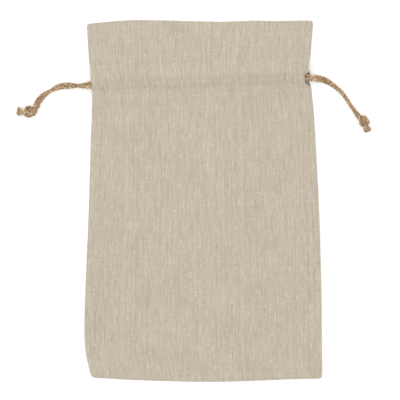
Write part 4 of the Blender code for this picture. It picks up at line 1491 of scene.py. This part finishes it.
# Thick places, mostly light, and dark flecks of husk: only the peaks of a noise.
warp_peaks = noise(weave, in_cells(weave, flat, WARP_SLUBS), 0.0)
weft_peaks = noise(weave, in_cells(weave, flat, WEFT_SLUBS), 0.0)
thick = maths(weave, "MAXIMUM", maths(weave, "SUBTRACT", weft_peaks, WEFT_SLUB_FROM),
              maths(weave, "SUBTRACT", warp_peaks, WARP_SLUB_FROM))
slub = maths(weave, "MULTIPLY", thick, SLUB_GAIN, clamp=True)
elsewhere = vector_maths(weave, "ADD", in_cells(weave, flat, FLECKS), (31.0, 17.0, 0.0))
husk = maths(weave, "SUBTRACT", noise(weave, elsewhere, 0.0), FLECK_FROM)
fleck = maths(weave, "MULTIPLY", husk, FLECK_GAIN, clamp=True)
fill(weave, weave_out, Tone=tone, Slub=slub, Fleck=fleck,
     Height=total(weave, height, product(weave, slub, SLUB_HEIGHT)))
print("the weave has", len(weave.nodes), "nodes")

# %% Linen
LINEN_BASE = (0.613, 0.539, 0.441)
LINEN_TONES = (0.602, 0.588, 0.545)      # what a paler yarn adds: it is greyer than the base
LINEN_THROUGH_AND_SHADE = (0.957, 0.955, 0.952, 1.0) # what a cord or an allowance beneath makes of it: show-through, partly painted shade
TONE_STRENGTH = 0.57
GAP_SHADE = 0.24               # how much darker the cloth is between its yarns
SLUB_LIGHT, FLECK_DARK = 0.05, 0.13
LINEN_ROUGH, TONE_SHINE = 0.92, 0.15     # the paler, the smoother
WEAVE_DEPTH = 0.00020


def linen_material():
    """Woven linen."""
    made, tree, shader = new_material("linen_cloth")
    cloth = pattern_of(tree, weave)
    gain = total(tree, 1.0 - GAP_SHADE, product(tree, cloth["Height"], GAP_SHADE),
                 product(tree, cloth["Tone"], TONE_STRENGTH),
                 product(tree, cloth["Slub"], SLUB_LIGHT),
                 product(tree, cloth["Fleck"], -FLECK_DARK))
    toned = vector_maths(tree, "MULTIPLY_ADD", maths(tree, "SUBTRACT", gain, 1.0), LINEN_TONES,
                         LINEN_BASE)
    # Cords and allowances darken the cloth over them: partly show-through, partly painted shade.
    fill(tree, shader,
         Base_Color=mixed(tree, attribute(tree, "through_and_shade"), toned, LINEN_THROUGH_AND_SHADE, "MULTIPLY"),
         Roughness=maths(tree, "SUBTRACT", LINEN_ROUGH, product(tree, cloth["Tone"], TONE_SHINE)),
         Normal=relief(tree, cloth["Height"], strength=0.70, distance=WEAVE_DEPTH),
         Specular_IOR_Level=0.20, Sheen_Weight=0.10, Sheen_Roughness=0.55)
    return made


linen = linen_material()
print("linen has", len(linen.node_tree.nodes), "nodes")

# %% Sewing thread
THREAD_DARK, THREAD_LIGHT = (0.525, 0.460, 0.370, 1.0), (0.680, 0.610, 0.505, 1.0)
TWISTS, THREAD_FLECKS = 900.0, 700.0     # to a metre, about
TWIST_DEPTH = 0.00006


def thread_material():
    """Matt twisted thread of the cloth's own colour."""
    made, tree, shader = new_material("linen_thread")
    place = object_place(tree)
    twist = new_node(tree, "ShaderNodeTexWave",
                     {"wave_type": "BANDS", "bands_direction": "DIAGONAL"}, Vector=place,
                     Scale=TWISTS, Distortion=1.5, Detail=1.0).outputs["Fac"]
    flecks = new_node(tree, "ShaderNodeTexNoise", Vector=place, Scale=THREAD_FLECKS,
                      Detail=2.0).outputs["Fac"]
    fill(tree, shader, Base_Color=mixed(tree, flecks, THREAD_DARK, THREAD_LIGHT),
         Roughness=0.80, Normal=relief(tree, twist, strength=0.6, distance=TWIST_DEPTH))
    return made


thread = thread_material()
print("thread is", thread.name)

# %% Jute
fibre, fibre_in, fibre_out = new_group(
    "jute_fibres", {"Vector": "NodeSocketVector"},
    {"Tone": "NodeSocketFloat", "Height": "NodeSocketFloat"})
# Sizes of the cells of the noises, round the ply and along it, and each one's share of the tone.
FINE_FIBRES, BUNDLES, LENGTHS = (0.00016, 0.0050), (0.00055, 0.0110), (0.0060, 0.0160)
FINE_SHARE, BUNDLE_SHARE, LENGTH_SHARE = 0.34, 0.32, 0.34
FIBRE_SLANT = 0.30             # each ply is twisted too, so its fibres lie at a slant to it
BUNDLE_HEIGHT = 1.2            # of a fine fibre's
round_ply, along_ply = new_node(fibre, "ShaderNodeSeparateXYZ",
                                Vector=fibre_in.outputs["Vector"]).outputs[:2]
slanted = total(fibre, round_ply, product(fibre, along_ply, FIBRE_SLANT))
laid = vector_of(fibre, slanted, along_ply)
fine_fibres = noise(fibre, in_cells(fibre, laid, FINE_FIBRES), 3.0, 0.65)
bundles = noise(fibre, in_cells(fibre, laid, BUNDLES))
lengths = noise(fibre, in_cells(fibre, laid, LENGTHS))
fill(fibre, fibre_out, Height=total(fibre, fine_fibres, product(fibre, bundles, BUNDLE_HEIGHT)),
     Tone=total(fibre, product(fibre, fine_fibres, FINE_SHARE),
                product(fibre, bundles, BUNDLE_SHARE), product(fibre, lengths, LENGTH_SHARE)))

JUTE_TONES = ((0.35, (0.165, 0.090, 0.040)), (0.46, (0.420, 0.276, 0.148)),
              (0.56, (0.605, 0.446, 0.274)), (0.66, (0.870, 0.745, 0.560)))
# Painted shade where two plies meet, and how it deepens into the crease.
CREASE_SHADE = (0.30, 0.22, 0.15, 1.0)
CREASE_POWER = 1.6             # so that the painted shade stays deep in the crease
JUTE_ROUGH, JUTE_SHINE = 0.86, 0.30      # the paler, the shinier
FIBRE_DEPTH = 0.00012


def jute_material():
    """Coarse fibres along the plies, with painted shade where two plies meet."""
    made, tree, shader = new_material("jute_cord")
    fibres = pattern_of(tree, fibre)
    tones = new_node(tree, "ShaderNodeValToRGB", Fac=fibres["Tone"])
    ramp = tones.color_ramp
    while len(ramp.elements) < len(JUTE_TONES):
        ramp.elements.new(0.5)
    for element, (position, colour) in zip(ramp.elements, JUTE_TONES):
        element.position = position
        element.color = (*colour, 1.0)
    # Painted shade, deepest in the crease between two plies.
    deep = maths(tree, "POWER", attribute(tree, "crease"), CREASE_POWER)
    fill(tree, shader,
         Base_Color=mixed(tree, deep, tones.outputs["Color"], CREASE_SHADE, "MULTIPLY"),
         Roughness=maths(tree, "SUBTRACT", JUTE_ROUGH, product(tree, fibres["Tone"], JUTE_SHINE)),
         Normal=relief(tree, fibres["Height"], strength=0.75, distance=FIBRE_DEPTH),
         Specular_IOR_Level=0.30, Sheen_Weight=0.08)
    return made


jute = jute_material()
print("jute has", len(jute.node_tree.nodes), "nodes, and its fibres", len(fibre.nodes))

# %% [markdown]
# ## The studio
#
# A product shown on white: light from all round, so that there is hardly a shadow, and a
# little more of it from beyond the top of the bag on the left, which is what shows the channel's
# relief. The floor is white, and glows a little, as a lit table does. The world is white to the
# camera and slightly grey as a light.

# %% Light, floor and world
SKY = 1.066                    # strength of the world as a light
SKY_SEEN = 1.05                # and to the camera
LAMP_PLACE = (-0.80, 1.25, 0.76)
LAMP_SIZE = 0.5
LAMP_POWER = 3.3
FLOOR_SIZE = 24.0
FLOOR_TINT = (0.93, 0.93, 0.93, 1.0)
FLOOR_GLOW = 0.22
FLOOR_ROUGH, GRAIN_ROUGH = 0.85, 0.1     # least roughness, and what the grain adds
WHITE = (1.0, 1.0, 1.0, 1.0)

bpy.ops.object.light_add(type="AREA", location=LAMP_PLACE)
lamp = bpy.context.object
lamp.name = "softbox"
lamp.data.shape = "DISK"
lamp.data.size = LAMP_SIZE
lamp.data.energy = LAMP_POWER
lamp.rotation_euler = (-Vector(LAMP_PLACE)).to_track_quat("-Z", "Y").to_euler()

world = bpy.data.worlds.new("white_studio")
bpy.context.scene.world = world
world.use_nodes = True
sky_tree = world.node_tree
sky_light = sky_tree.nodes["Background"]
fill(sky_tree, sky_light, Color=WHITE, Strength=SKY)
sky_seen = new_node(sky_tree, "ShaderNodeBackground", Color=WHITE, Strength=SKY_SEEN)
seen = new_node(sky_tree, "ShaderNodeLightPath").outputs["Is Camera Ray"]
sky_mix = new_node(sky_tree, "ShaderNodeMixShader", Fac=seen, i1=sky_light.outputs[0],
                   i2=sky_seen.outputs[0])
fill(sky_tree, sky_tree.nodes["World Output"], Surface=sky_mix.outputs[0])

bpy.ops.mesh.primitive_plane_add(size=FLOOR_SIZE, location=(0.0, 0.0, 0.0))
floor = bpy.context.object
floor.name = "studio_floor"
white, white_tree, white_shader = new_material("white_table")
grain = new_node(white_tree, "ShaderNodeTexNoise", Scale=60.0, Detail=2.0,
                 Vector=object_place(white_tree)).outputs["Fac"]
fill(white_tree, white_shader, Base_Color=FLOOR_TINT,
     Roughness=rising(white_tree, FLOOR_ROUGH, GRAIN_ROUGH, grain),
     Specular_IOR_Level=0.1, Emission_Color=WHITE, Emission_Strength=FLOOR_GLOW)
floor.data.materials.append(white)

bpy.context.scene.view_settings.view_transform = "Standard"
print("lamp at", LAMP_PLACE)

# %% [markdown]
# ## Giving the pieces to the frame
#
# Every piece rides on the one body, is given its finish and stands for the CAD part whose place
# it fills.

# %% Riding and replacing
PIECES = {                     # piece: material, slot, the CAD nodes that it replaces
    front_cloth: (linen, "linen", ["front_panel"]),
    back_cloth: (linen, "linen", ["back_panel"]),
    front_stitching: (thread, "linen", []),
    back_stitching: (thread, "linen", []),
}
for name, piece in {**strand_objects, **knot_objects, **held_objects}.items():
    PIECES[piece] = (jute, "jute", [name])
for piece in fibre_objects.values():
    PIECES[piece] = (jute, "jute", [])
for piece, (finish, slot, nodes) in PIECES.items():
    piece.data.materials.clear()
    piece.data.materials.append(finish)
    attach(piece, "root")
    if nodes:
        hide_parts(*nodes)

print(len(PIECES), "pieces")
